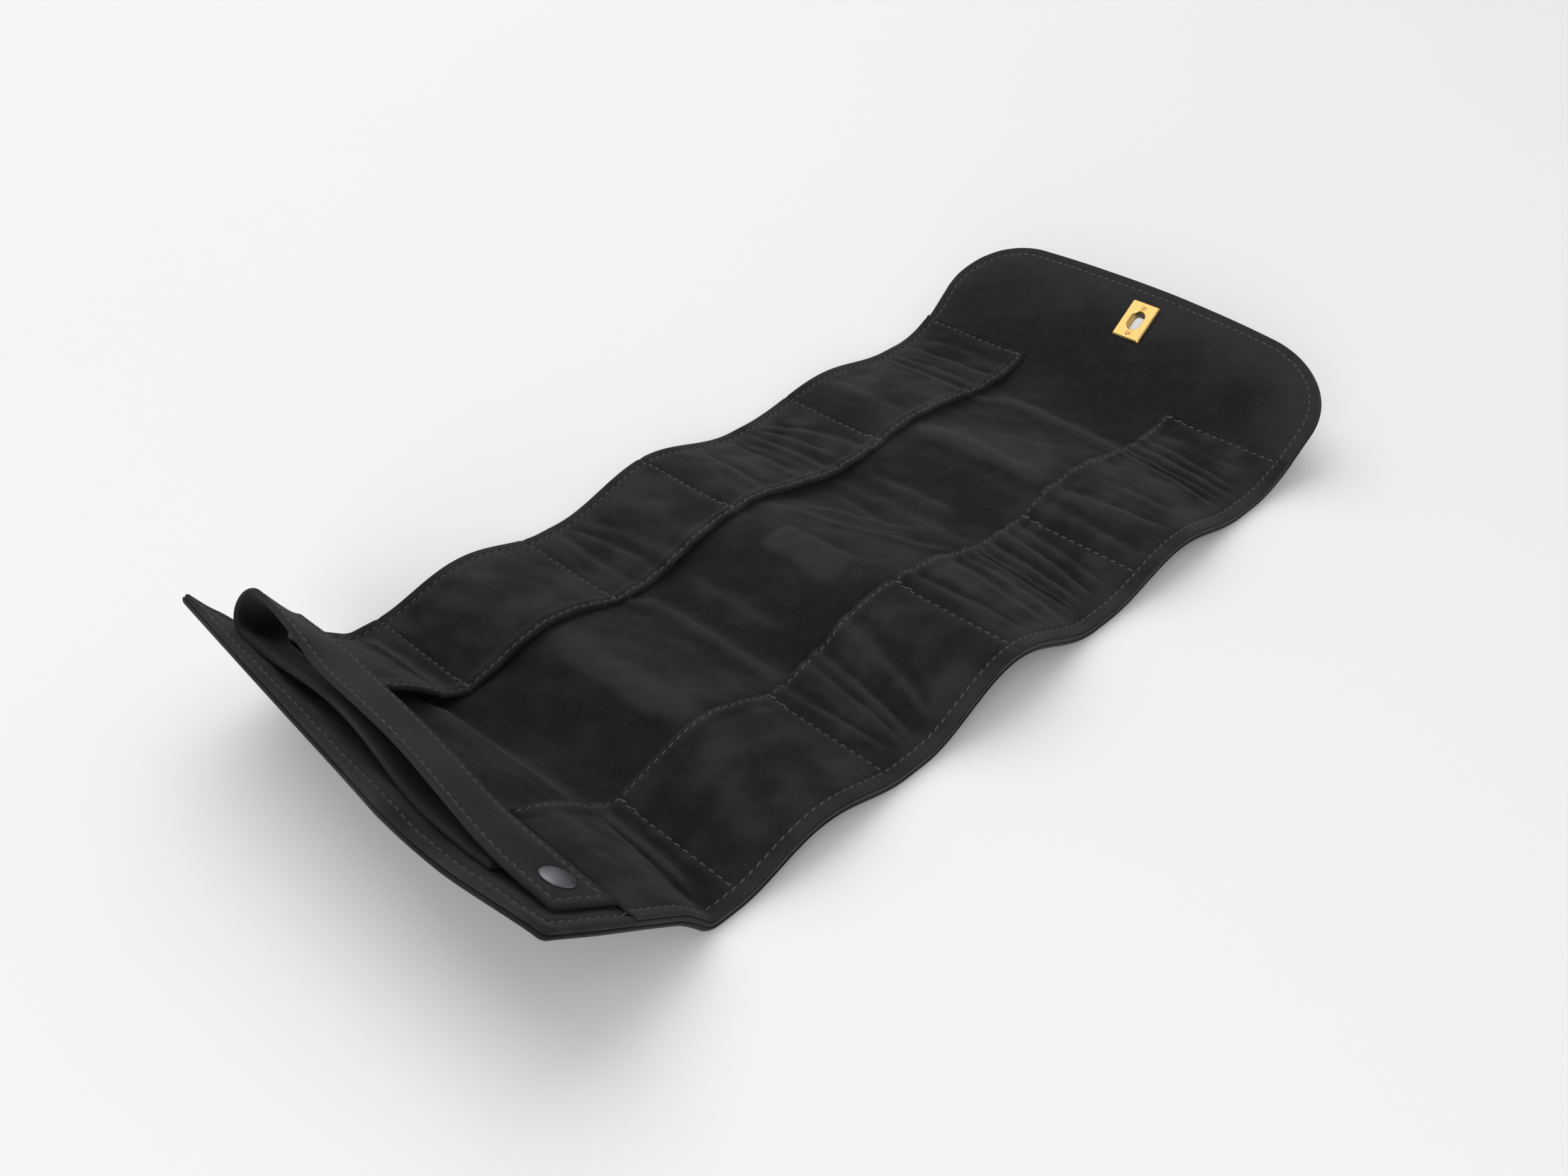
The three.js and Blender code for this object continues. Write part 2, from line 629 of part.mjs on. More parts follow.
const plateLow = LINING_TOP + FIT_GAP;
const plateTop = plateLow + PLATE_THICKNESS;
const backTop = -FIT_GAP;
addPiece(
  'lock_plate',
  prism(lockPlate(SCREW_HEAD_DIAMETER + 2 * FIT_GAP), plateLow, plateTop, PLATE_BEVEL),
  gilt,
  plateFrame,
);
addPiece(
  'lock_back_plate',
  prism(lockPlate(SCREW_SHANK_DIAMETER + 2 * FIT_GAP), backTop - BACK_PLATE_THICKNESS, backTop),
  gilt,
  plateFrame,
);
for (const [name, x] of [['plate_screw_inner', -screwX], ['plate_screw_tip', screwX]]) {
  const screw = turned([
    [0, backTop - BACK_PLATE_THICKNESS],
    [SCREW_SHANK_DIAMETER / 2, backTop - BACK_PLATE_THICKNESS],
    [SCREW_SHANK_DIAMETER / 2, plateTop - SCREW_HEAD_HEIGHT],
    [SCREW_HEAD_DIAMETER / 2, plateTop - SCREW_HEAD_HEIGHT],
    [SCREW_HEAD_DIAMETER / 2, plateTop],
    [0, plateTop],
  ]).translate(x, 0, 0);
  addPiece(name, screw, gilt, plateFrame);
}

// How far the arched outer face drops below the flat base plate's middle at the plate's two edges
const baseSag = [-1, 1].map((side) => {
  const edge = middleStation(buttonStation.x + (side * buttonStation.nz * PLATE_WIDTH) / 2);
  const runX = edge.x - buttonStation.x;
  const runZ = edge.z - buttonStation.z;
  return -(runX * buttonStation.nx + runZ * buttonStation.nz);
});

// Turn button under the middle ridge: a base plate, a guide that fills the slot, the button and its washer
const baseLow = Math.max(0, ...baseSag) + FIT_GAP;
const baseTop = baseLow + BUTTON_BASE_THICKNESS;
const guideLow = baseTop + FIT_GAP;
const guideTop = guideLow + GUIDE_HEIGHT;
const barLow = guideTop + BUTTON_BAR_CLEARANCE;
const barTop = barLow + BUTTON_BAR_HEIGHT;
const postBore = BUTTON_POST_DIAMETER / 2 + FIT_GAP;
const barLength = SLOT_LENGTH - 2 * FIT_GAP;
const barWidth = SLOT_WIDTH - 2 * FIT_GAP;
const baseShape = rounded(PLATE_WIDTH, PLATE_LENGTH, PLATE_CORNER_RADIUS);
baseShape.holes.push(circle(0, postBore));
addPiece('button_base', prism(baseShape, baseLow, baseTop), gilt, buttonFrame);
const guideShape = stadium(barLength, barWidth);
guideShape.holes.push(circle(0, postBore));
addPiece('slot_guide', prism(guideShape, guideLow, guideTop), gilt, buttonFrame);
const washerShape = circle(0, BUTTON_WASHER_DIAMETER / 2);
washerShape.holes.push(circle(0, postBore));
const washerTop = -INTERLINING_LOW;
const postEnd = washerTop - BUTTON_WASHER_THICKNESS;
addPiece(
  'button_washer',
  prism(washerShape, postEnd, washerTop),
  gunmetal,
  buttonFrame,
);
const post = solidOf(disc(BUTTON_POST_DIAMETER, postEnd, barLow + BUTTON_BAR_HEIGHT / 2));
const bar = solidOf(prism(stadium(barLength, barWidth), barLow, barTop, PLATE_BEVEL));
addPiece('turn_button', geometryOf(post.add(bar)), gilt, buttonFrame);

// The origin is under the middle of the whole roll
roll.updateMatrixWorld(true);
const box = new THREE.Box3().setFromObject(roll, true);
roll.position.set(-(box.min.x + box.max.x) / 2, -(box.min.y + box.max.y) / 2, -box.min.z);
roll.updateMatrixWorld(true);

export default roll;
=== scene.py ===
"""Looks of a suede travel roll laid open: draped layers, pocket strips, stitching, ring strap and turn lock.

Places on the roll are given in millimetres by d, the distance from the end crease towards the flap (negative
on the raised end), y across the sheet and n, the height above the outer face.
"""

import logging
import math
from dataclasses import dataclass, field
from enum import Enum, IntEnum

import bpy
import numpy as np
from mathutils import Matrix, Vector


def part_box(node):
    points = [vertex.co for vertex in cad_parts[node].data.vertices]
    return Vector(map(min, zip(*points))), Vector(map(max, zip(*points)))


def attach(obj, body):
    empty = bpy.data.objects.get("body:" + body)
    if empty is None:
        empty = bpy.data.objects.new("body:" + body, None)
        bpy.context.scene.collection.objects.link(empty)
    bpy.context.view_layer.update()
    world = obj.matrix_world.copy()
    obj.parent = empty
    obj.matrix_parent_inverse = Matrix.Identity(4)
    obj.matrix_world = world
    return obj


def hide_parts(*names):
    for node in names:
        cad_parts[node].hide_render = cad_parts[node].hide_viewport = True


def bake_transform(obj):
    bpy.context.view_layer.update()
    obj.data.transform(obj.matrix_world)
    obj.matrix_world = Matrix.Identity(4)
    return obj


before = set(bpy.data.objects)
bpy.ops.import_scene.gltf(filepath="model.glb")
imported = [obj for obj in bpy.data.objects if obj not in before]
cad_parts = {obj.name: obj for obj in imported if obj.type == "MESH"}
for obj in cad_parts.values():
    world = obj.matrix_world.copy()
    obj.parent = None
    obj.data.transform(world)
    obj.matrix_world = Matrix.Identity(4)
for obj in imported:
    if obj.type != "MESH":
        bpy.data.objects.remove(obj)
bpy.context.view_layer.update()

Array = np.ndarray
Piece = bpy.types.Object
Material = bpy.types.Material
Hole = tuple[int, int, int, int]
Trio = tuple[float, float, float]
Pair = tuple[float, float]

MM = 0.001
CLOSEST = 0.02
RIM_STEPS = (CLOSEST, 0.12, 0.35, 0.7, 1.1, 1.6, 2.2)
GROOVE_STEPS = (-1.5, -0.9, -0.45, 0.0, 0.45, 0.9, 1.5)
CUT_STEPS = (-0.3, 0.0, 0.3)
MOST_NAP = 1.5
PANELS = ("end", "first", "rise", "fall", "last", "flap")
log = logging.getLogger("travel_roll")


def eased(values: Array, low: float, high: float) -> Array:
    """Smooth step: 3t² - 2t³, where t runs from 0 at low to 1 at high."""
    share = np.clip((values - low) / (high - low), 0.0, 1.0)
    return share * share * (3.0 - 2.0 * share)


def bell(values: Array, width: float | Array) -> Array:
    """Bell curve: exp(-(v / width)²)."""
    return np.exp(-np.square(values / width))


def rounded_rim(inside: Array, half: float | Array) -> Array:
    """Share of the half thickness left at a distance inside the edge: a quarter circle."""
    share = np.clip(inside / half, 0.0, 1.0)
    return np.sqrt(1.0 - np.square(1.0 - share))


def nearest(values: Array, place: float) -> int:
    """Number of the value that lies nearest to a place."""
    return int(np.argmin(np.abs(values - place)))


def run_along(path: Array) -> Array:
    """Length of a path of points up to each point: the running sum of its steps."""
    steps = np.linalg.norm(np.diff(path, axis=0), axis=1)
    return np.concatenate([[0.0], np.cumsum(steps)])


def around(centres: list[float] | tuple[float, ...], steps: tuple[float, ...]) -> list[float]:
    """Marks at given steps from each centre."""
    return [centre + step for centre in centres for step in steps]


def stations(low: float, high: float, step: float, marks: list[float]) -> Array:
    """Values from low to high, about step apart, that pass through every mark.

    Args:
        low: first value.
        high: last value.
        step: usual distance between two values.
        marks: values that have to be met.

    Returns:
        The rising values.
    """
    inside = [round(mark, 2) for mark in marks if low + CLOSEST < mark < high - CLOSEST]
    stops = np.unique(np.array([low, high, *inside]))
    runs = []
    for a, b in zip(stops[:-1], stops[1:]):
        runs.append(np.linspace(a, b, max(1, round((b - a) / step)) + 1)[:-1])
    return np.concatenate([*runs, [high]])


class Fold(Enum):
    """The five fold lines: joint, body before, body after, and the bend's reach both ways in mm."""

    END = ("end_fold", "end_section", "first_section", 9.0, 8.0)
    FIRST = ("first_fold", "first_section", "middle_rise", 9.0, 10.0)
    RIDGE = ("ridge_bend", "middle_rise", "middle_fall", 4.0, 14.0)
    MIDDLE = ("roll_up", "middle_fall", "last_section", 10.0, 9.0)
    FLAP = ("flap_fold", "last_section", "flap", 5.0, 46.0)

    def __init__(self, joint: str, before: str, after: str, back: float, ahead: float) -> None:
        """Keeps the fold's facts under their own names."""
        self.joint, self.before, self.after = joint, before, after
        self.back, self.ahead = back, ahead

    @property
    def order(self) -> int:
        """Place among the folds, counted from the end."""
        return list(Fold).index(self)


class Ply(Enum):
    """The layers of the sheet: name, material slot, how far it is drawn in, and the upper face's share of
    what the rounded rim takes off."""

    SHELL = ("shell", "suede_shell", 0.0, 0.15)
    FELT = ("interlining", "interlining", 6.0, 0.5)
    LINING = ("lining", "suede_lining", 0.3, 0.85)

    def __init__(self, label: str, slot: str, inset: float, share: float) -> None:
        """Keeps the layer's facts under their own names."""
        self.label, self.slot = label, slot
        self.inset, self.share = inset, share


class Side(IntEnum):
    """The long sides of the roll, by their sign along Y."""

    NEAR = -1
    FAR = 1


class Plating(Enum):
    """The metal finishes, by their material slots."""

    GILT = "gilt"
    GUNMETAL = "gunmetal"


@dataclass(frozen=True)
class Ripple:
    """Relief without a pattern: the sum of sine waves in seeded directions."""

    seed: int
    wavelength: float
    height: float
    waves: int = 7
    spread: Pair = (0.7, 1.4)

    def at(self, d: Array, y: Array) -> Array:
        """Height at a place, about from -height to height.

        Args:
            d: distances.
            y: places across.

        Returns:
            The heights.
        """
        rng = np.random.default_rng(self.seed)
        turns = rng.uniform(0.0, math.tau, self.waves)
        phases = rng.uniform(0.0, math.tau, self.waves)
        rates = math.tau / (self.wavelength * rng.uniform(*self.spread, self.waves))
        total = np.zeros(np.broadcast(d, y).shape)
        for turn, phase, rate in zip(turns, phases, rates):
            total = total + np.sin(rate * (d * math.cos(turn) + y * math.sin(turn)) + phase)
        return self.height * (total / math.sqrt(self.waves))


@dataclass(frozen=True)
class Crease:
    """A soft fold of the cloth between two places (d, y), with its half width and its height."""

    start: Pair
    stop: Pair
    width: float
    height: float
    fade: Pair = (0.15, 0.2)

    def at(self, d: Array, y: Array) -> Array:
        """Height at a place: a bell across the fold that fades out at both ends.

        Args:
            d: distances.
            y: places across.

        Returns:
            Heights.
        """
        run = np.subtract(self.stop, self.start)
        length = float(np.hypot(*run))
        share = ((d - self.start[0]) * run[0] + (y - self.start[1]) * run[1]) / length**2
        away = ((d - self.start[0]) * run[1] - (y - self.start[1]) * run[0]) / length
        outer, inner = self.fade
        fade = eased(share, -outer, inner) * (1.0 - eased(share, 1.0 - inner, 1.0 + outer))
        return self.height * bell(away, self.width) * fade


@dataclass(frozen=True)
class Wrinkle:
    """A wrinkle of a pocket strip: distance at the mouth and at the outer edge, height and half width."""

    mouth: float
    outer: float
    height: float
    width: float
    reach: float = 50.0
    rooted: Pair = (1.0, 12.0)
    slack: Pair = (36.0, 50.0)
    slack_loss: float = 0.4
    furrow: float = 0.5
    furrow_away: float = 2.1

    def at(self, d: Array, inward: Array) -> Array:
        """Height at a place: a ridge with a furrow beside it, on a line that turns in at the outer edge.

        Args:
            d: distances.
            inward: distances from the outer stitching in mm.

        Returns:
            Heights.
        """
        grown = np.clip(inward / self.reach, 0.0, 1.0)
        line = self.outer + (self.mouth - self.outer) * np.sqrt(grown)
        width = self.width * (0.75 + 0.5 * grown)
        fade = eased(inward, *self.rooted) * (1.0 - self.slack_loss * eased(inward, *self.slack))
        ridge = bell(d - line, width) - self.furrow * bell(d - line - self.furrow_away * width, width)
        return self.height * ridge * fade


def summed(forms: tuple[Ripple | Crease | Wrinkle, ...], first: Array, second: Array) -> Array:
    """Sum of the heights that several forms have at a place."""
    return sum(form.at(first, second) for form in forms)


@dataclass
class RollShape:
    """Drape of the whole open roll, from the raised end over three waves to the flap."""

    end_tilt: float = math.radians(36.0)
    end_bend: float = 12.0
    end_corner: float = 2.5
    end_length: float = 74.0
    flap_tilt: float = math.radians(35.5)
    flap_bend: float = 46.0
    flap_corner: float = 34.0
    flap_length: float = 81.0
    flap_twist: float = 4.5
    tip_bow: float = 7.0
    land: float = 4.0
    rises: Trio = (7.6, 14.3, 7.5)
    far_flats: Trio = (0.0, 0.33, 0.33)
    far_from: Pair = (-20.0, 70.0)
    fold_gap: float = 0.7
    far_curl: float = 9.7
    curl_start: float = 46.0
    curl_side: float = -22.0
    curl_width: float = 112.0
    near_lift: float = 4.2
    lift_along: Pair = (2.0, 24.0)
    lift_across: Pair = (48.0, 94.0)
    dip: float = 0.9
    dip_y: float = -35.0
    dip_width: float = 20.0
    loose: Ripple = Ripple(11, 95.0, 0.7)
    flutter: Ripple = Ripple(12, 120.0, 0.9)
    strap_line: float = 53.0
    snap_inset: float = 20.0
    snap_reach: float = 13.0
    snap_hold: float = 0.6
    plate_from_tip: float = 18.0
    plate_reach: float = 22.0
    origin: float = field(init=False)
    half_width: float = field(init=False)
    creases: Array = field(init=False)
    ridge: float = field(init=False)

    def __post_init__(self) -> None:
        """Reads the crease lines and the width from the frame."""
        margin = self.fold_gap / 2
        starts = [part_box(f"shell_{panel}")[0].x / MM - margin for panel in PANELS[1:5]]
        last_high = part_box("shell_last")[1]
        self.origin = starts[0]
        self.half_width = last_high.y / MM
        flap = last_high.x / MM + margin
        self.creases = np.array([0.0, starts[1] - starts[0], starts[3] - starts[0], flap - starts[0]])
        self.ridge = starts[2] - starts[0]

    @property
    def flap(self) -> float:
        """Distance of the flap crease."""
        return float(self.creases[3])

    @property
    def tip(self) -> float:
        """Distance of the flap's tip."""
        return self.flap + self.flap_length

    @property
    def plate(self) -> float:
        """Distance of the lock plate's middle."""
        return self.tip - self.plate_from_tip

    @property
    def snap_y(self) -> float:
        """Place of the snap across the roll."""
        return self.snap_inset - self.half_width

    @property
    def folds(self) -> dict[Fold, float]:
        """Distance of every fold line."""
        lines = [self.creases[0], self.creases[1], self.ridge, self.creases[2], self.creases[3]]
        return dict(zip(Fold, [float(line) for line in lines]))

    @property
    def splits(self) -> list[float]:
        """Cuts half way between two folds, with both outer ends."""
        lines = list(self.folds.values())
        return [-self.end_length, *((a + b) / 2 for a, b in zip(lines[:-1], lines[1:])), self.tip]

    def raised(self, run: Array, bend: float, tilt: float) -> tuple[Array, Array, Array]:
        """A raised panel in its own plane: a flat land, an arc up to the tilt, then straight.

        Args:
            run: distances from the crease in mm.
            bend: radius of the arc.
            tilt: angle at which the arc ends.

        Returns:
            The way along the table, the height and the angle.
        """
        angle = np.clip((run - self.land) / bend, 0.0, tilt)
        straight = np.maximum(run - self.land - bend * tilt, 0.0)
        along = np.minimum(run, self.land) + bend * np.sin(angle) + straight * math.cos(tilt)
        height = bend * (1.0 - np.cos(angle)) + straight * math.sin(tilt)
        return along, height, angle

    def waves(self, d: Array) -> list[tuple[Array, float, float]]:
        """For each wave, how far along it a distance lies.

        Args:
            d: distances.

        Returns:
            Shares from 0 to 1, with the wave's length and its rise.
        """
        found = []
        for start, stop, rise in zip(self.creases[:-1], self.creases[1:], self.rises):
            length = stop - start - 2 * self.land
            found.append((np.clip((d - start - self.land) / length, 0.0, 1.0), length, rise))
        return found

    def arch(self, d: Array) -> Array:
        """1 at the crest of a wave and 0 at a crease: a squared sine."""
        return sum(np.square(np.sin(np.pi * share)) for share, _, _ in self.waves(d))

    def swell(self, d: Array, parts: Trio = (1.0, 1.0, 1.0)) -> Array:
        """Height of the waves, or of a part of each: every rise times its squared sine."""
        found = zip(self.waves(d), parts)
        return sum(part * rise * np.square(np.sin(np.pi * share)) for (share, _, rise), part in found)

    def out(self, d: Array) -> Array:
        """How far out on the flap a distance lies: 0 at its crease and 1 at its tip."""
        return np.clip((d - self.flap) / self.flap_length, 0.0, 1.0)

    def profile(self, d: Array) -> tuple[Array, Array, Array]:
        """Outer face in the XZ plane: both raised panels, and the waves between them.

        The slope of a wave is the arctangent of its height's change over its length.

        Args:
            d: distances.

        Returns:
            x and z in mm, and the slope's angle.
        """
        d = np.asarray(d, float)
        before = np.maximum(-d, 0.0)
        beyond = np.maximum(d - self.flap, 0.0)
        end_x, end_z, end_angle = self.raised(before, self.end_bend, self.end_tilt)
        flap_x, flap_z, flap_angle = self.raised(beyond, self.flap_bend, self.flap_tilt)
        x = self.origin + np.clip(d, 0.0, self.flap) - end_x + flap_x
        z = end_z + flap_z + self.swell(d)
        angle = flap_angle - end_angle
        for share, length, rise in self.waves(d):
            angle = angle + np.arctan(rise * np.pi * np.sin(2 * np.pi * share) / length)
        return x, z, angle

    def drape(self, d: Array, y: Array) -> Array:
        """How far the soft sheet leaves the plain profile.

        The end's sides turn up and its middle dips, the waves are lower on the far side, the flap is
        twisted by the square of the way out, and loose ripples run over all of it.

        Args:
            d: distances.
            y: places across.

        Returns:
            Heights.
        """
        turned = np.clip((-d - self.curl_start) / (self.end_length - self.curl_start), 0.0, 1.0) ** 1.2
        far = np.clip((y - self.curl_side) / self.curl_width, 0.0, 1.0) ** 1.1
        held = self.snap_hold * bell(np.hypot(d + self.strap_line, y - self.snap_y), self.snap_reach)
        lifted = self.near_lift * eased(-d, *self.lift_along) * eased(-y, *self.lift_across) * (1.0 - held)
        dip = self.dip * turned * bell(y - self.dip_y, self.dip_width)
        out = self.out(d)
        away = 1.0 - bell(np.hypot(d - self.plate, y), self.plate_reach)
        ripples = self.arch(d) * self.loose.at(d, y) + out * away * self.flutter.at(d, y)
        lower = self.swell(d, self.far_flats) * eased(y, *self.far_from)
        twist = self.flap_twist * out**2 * y / self.half_width
        return self.far_curl * turned * far + lifted - dip + ripples + twist - lower

    def place(self, d: Array, y: Array, n: Array) -> Array:
        """Points of the draped sheet.

        The tip's bow shortens d by the square of y. The profile's normal then carries n and the drape.

        Args:
            d: distances.
            y: places across.
            n: heights above the outer face in mm.

        Returns:
            Points in metres, with the coordinates on the last axis.
        """
        bowed = d - self.tip_bow * np.square(y / self.half_width) * self.out(d) ** 3
        x, z, angle = self.profile(bowed)
        lift = n + self.drape(d, y)
        parts = np.broadcast_arrays(x - np.sin(angle) * lift, y, z + np.cos(angle) * lift)
        return np.stack(parts, axis=-1) * MM

    def half(self, d: Array) -> Array:
        """Half the sheet's width at a distance, less what the quarter circles of the corners take off.

        Args:
            d: distances.

        Returns:
            Half widths in mm.
        """
        flap_in = np.clip((d - self.tip + self.flap_corner) / self.flap_corner, 0.0, 1.0)
        end_in = np.clip((self.end_corner - self.end_length - d) / self.end_corner, 0.0, 1.0)
        flap_cut = self.flap_corner * (1.0 - np.sqrt(1.0 - np.square(flap_in)))
        end_cut = self.end_corner * (1.0 - np.sqrt(1.0 - np.square(end_in)))
        return self.half_width - flap_cut - end_cut

    def edge(self, d: Array, y: Array) -> Array:
        """Distance inside the sheet's outline.

        Args:
            d: distances.
            y: places across.

        Returns:
            Distances from the nearest side, end or rounded corner in mm.
        """
        across = self.half_width - np.abs(y)
        to_tip = self.tip - d
        to_end = d + self.end_length
        inside = np.minimum(across, np.minimum(to_tip, to_end))
        for radius, run in ((self.flap_corner, to_tip), (self.end_corner, to_end)):
            side = radius - across
            ahead = radius - run
            corner = radius - np.hypot(side, ahead)
            inside = np.where((side > 0) & (ahead > 0), corner, inside)
        return inside

    def spot(self, d: float, y: float, outward: bool = False) -> Array:
        """Frame of a rigid piece on the plain profile.

        Args:
            d: distance in mm.
            y: place across in mm.
            outward: True on the outer face.

        Returns:
            Four rows of three: along, across, normal, and the point in mm.
        """
        x, z, angle = (float(value) for value in self.profile(np.array(d)))
        side = -1.0 if outward else 1.0
        along = (math.cos(angle), 0.0, math.sin(angle))
        normal = (-math.sin(angle) * side, 0.0, math.cos(angle) * side)
        return np.array([along, (0.0, side, 0.0), normal, (x, y, z)])


class Wire:
    """A shader socket that takes part in Python expressions."""

    def __init__(self, graph: "Graph", socket: bpy.types.NodeSocket) -> None:
        """Keeps the socket and the graph it belongs to."""
        self.graph = graph
        self.socket = socket

    def math(self, operation: str, other: "Wire | float") -> "Wire":
        """A Math node of this value and another one."""
        return self.graph.add("ShaderNodeMath", {"operation": operation}, {0: self, 1: other})

    def __add__(self, other: "Wire | float") -> "Wire":
        """Sum."""
        return self.math("ADD", other)

    __radd__ = __add__

    def __mul__(self, other: "Wire | float") -> "Wire":
        """Product."""
        return self.math("MULTIPLY", other)

    __rmul__ = __mul__


class Graph:
    """A material's node tree."""

    def __init__(self, name: str) -> None:
        """Makes an empty material.

        Args:
            name: the material's name.
        """
        self.material = bpy.data.materials.new(name)
        self.material.use_nodes = True
        self.tree = self.material.node_tree
        self.tree.nodes.clear()

    def add(self, kind: str, settings: dict, inputs: dict, output: int | str = 0) -> Wire:
        """Adds a node.

        Args:
            kind: the node's type.
            settings: its properties, which are set first.
            inputs: values or wires by socket name or number.
            output: the socket that is handed on.

        Returns:
            The chosen output.
        """
        node = self.tree.nodes.new(kind)
        for key, value in settings.items():
            setattr(node, key, value)
        for key, value in inputs.items():
            if isinstance(value, Wire):
                self.tree.links.new(value.socket, node.inputs[key])
            else:
                node.inputs[key].default_value = value
        return Wire(self, node.outputs[output])

    def coordinates(self, kind: str) -> Wire:
        """Texture coordinates of a kind."""
        return self.add("ShaderNodeTexCoord", {}, {}, kind)

    def stretched(self, place: Wire, scale: Trio) -> Wire:
        """Coordinates stretched along their axes."""
        return self.add("ShaderNodeMapping", {"vector_type": "POINT"}, {"Vector": place, "Scale": scale})

    def mixed(self, share: Wire, first: tuple[float, ...], second: tuple[float, ...]) -> Wire:
        """A colour between two colours."""
        inputs = {0: share, 6: first, 7: second}
        return self.add("ShaderNodeMix", {"data_type": "RGBA"}, inputs, 2)

    def noise(self, place: Wire, scale: float, detail: float, roughness: float) -> Wire:
        """Noise value on given coordinates."""
        inputs = {"Vector": place, "Scale": scale, "Detail": detail, "Roughness": roughness}
        return self.add("ShaderNodeTexNoise", {"noise_dimensions": "3D"}, inputs)

    def eased(self, value: Wire, low: float, high: float) -> Wire:
        """Smooth step of a value."""
        inputs = {"Value": value, "From Min": low, "From Max": high}
        return self.add("ShaderNodeMapRange", {"interpolation_type": "SMOOTHSTEP"}, inputs)

    def bump(self, height: Wire, strength: float, distance: float) -> Wire:
        """Normals bumped by a height."""
        inputs = {"Height": height, "Strength": strength, "Distance": distance}
        return self.add("ShaderNodeBump", {}, inputs)

    def finish(self, looks: dict) -> Material:
        """Adds the shader and sends it to the output.

        Args:
            looks: values or wires of the Principled shader's sockets.

        Returns:
            The finished material.
        """
        shader = self.add("ShaderNodeBsdfPrincipled", {}, looks)
        output = self.tree.nodes.new("ShaderNodeOutputMaterial")
        self.tree.links.new(shader.socket, output.inputs["Surface"])
        return self.material


def opaque(colour: Trio, level: float = 1.0) -> tuple[float, ...]:
    """A colour times a level, with nothing let through."""
    return (*(level * value for value in colour), 1.0)


def grey(level: float, warm: float = 0.0) -> tuple[float, ...]:
    """A near grey colour, a little warm or cold."""
    return (level * (1.0 + warm), level, level * (1.0 - warm), 1.0)


@dataclass(frozen=True)
class Suede:
    """Napped suede: brushed patches, fine fibres and a soft sheen."""

    name: str
    # deep is the colour of unbrushed suede in painted shade, raised that of brushed suede under painted
    # highlights.
    deep: float
    raised: float
    sheen: float = 0.10
    warm: float = 0.01
    patch_scale: float = 34.0
    streak_scale: float = 420.0
    streak_stretch: Trio = (1.0, 0.22, 1.0)
    mottle_scale: float = 260.0
    fibre_scale: float = 1700.0
    bump_strength: float = 0.55
    bump_depth: float = 0.0006
    sheen_rough: float = 0.42
    sheen_tint: tuple[float, ...] = (0.85, 0.85, 0.9, 1.0)
    gloss: float = 0.12

    def material(self) -> Material:
        """Colour runs from deep to raised with brushed patches and streaks and with the mesh's painted
        highlights and shade, and the fibres give the bump.

        Returns:
            The material, which reads the mesh's attribute of brushing with painted highlights and shade.
        """
        graph = Graph(self.name)
        place = graph.coordinates("Object")
        brushed_and_sheen = graph.add("ShaderNodeAttribute", {"attribute_name": "nap"}, {}, "Fac")
        patch = graph.noise(place, self.patch_scale, 4.0, 0.55)
        streak = graph.noise(graph.stretched(place, self.streak_stretch), self.streak_scale, 3.0, 0.6)
        fibre = graph.noise(place, self.fibre_scale, 2.0, 0.65)
        mottle = graph.noise(place, self.mottle_scale, 3.0, 0.6)
        # The mesh's attribute paints highlights on crests, folds and edges and shade in furrows, over the
        # brushed patches.
        nap = graph.eased(patch * 0.5 + brushed_and_sheen * 0.65 + streak * 0.25 + 0.06, 0.35, 1.0)
        lit = nap * 0.75 + graph.eased(fibre, 0.35, 0.75) * 0.18 + graph.eased(mottle, 0.4, 0.75) * 0.12
        height = fibre * 0.55 + streak * 0.5 + mottle * 0.45
        return graph.finish({
            "Base Color": graph.mixed(lit, grey(self.deep, self.warm), grey(self.raised, self.warm)),
            "Roughness": 0.86 + 0.12 * fibre,
            "Normal": graph.bump(height, self.bump_strength, self.bump_depth),
            "Sheen Weight": self.sheen,
            "Sheen Roughness": self.sheen_rough,
            "Sheen Tint": self.sheen_tint,
            "Specular IOR Level": self.gloss,
        })


@dataclass(frozen=True)
class Felt:
    """Grey felt of the interlining."""

    name: str = "felt"
    level: float = 0.07
    fibre_scale: float = 900.0

    def material(self) -> Material:
        """Mottled grey with a fibrous bump.

        Returns:
            The material.
        """
        graph = Graph(self.name)
        fibre = graph.noise(graph.coordinates("Object"), self.fibre_scale, 4.0, 0.7)
        return graph.finish({
            "Base Color": graph.mixed(fibre, grey(self.level * 0.7), grey(self.level * 1.3)),
            "Roughness": 0.9 + 0.1 * fibre,
            "Normal": graph.bump(fibre, 0.5, 0.0005),
        })


@dataclass(frozen=True)
class Thread:
    """Black sewing thread with its twist."""

    name: str = "sewing_thread"
    level: float = 0.045
    twist_scale: float = 2.2
    gloss: float = 0.4

    def material(self) -> Material:
        """The twist is a wave on the stitch's own map.

        Returns:
            The material, which reads the mesh's map.
        """
        graph = Graph(self.name)
        inputs = {
            "Vector": graph.coordinates("UV"),
            "Scale": self.twist_scale,
            "Distortion": 0.6,
            "Detail": 1.0,
        }
        twist = graph.add("ShaderNodeTexWave", {"bands_direction": "DIAGONAL"}, inputs, "Fac")
        return graph.finish({
            "Base Color": graph.mixed(twist, grey(self.level * 0.6), grey(self.level * 1.7)),
            "Roughness": 0.5 + 0.15 * twist,
            "Normal": graph.bump(twist, 0.4, 0.0001),
            "Specular IOR Level": self.gloss,
        })


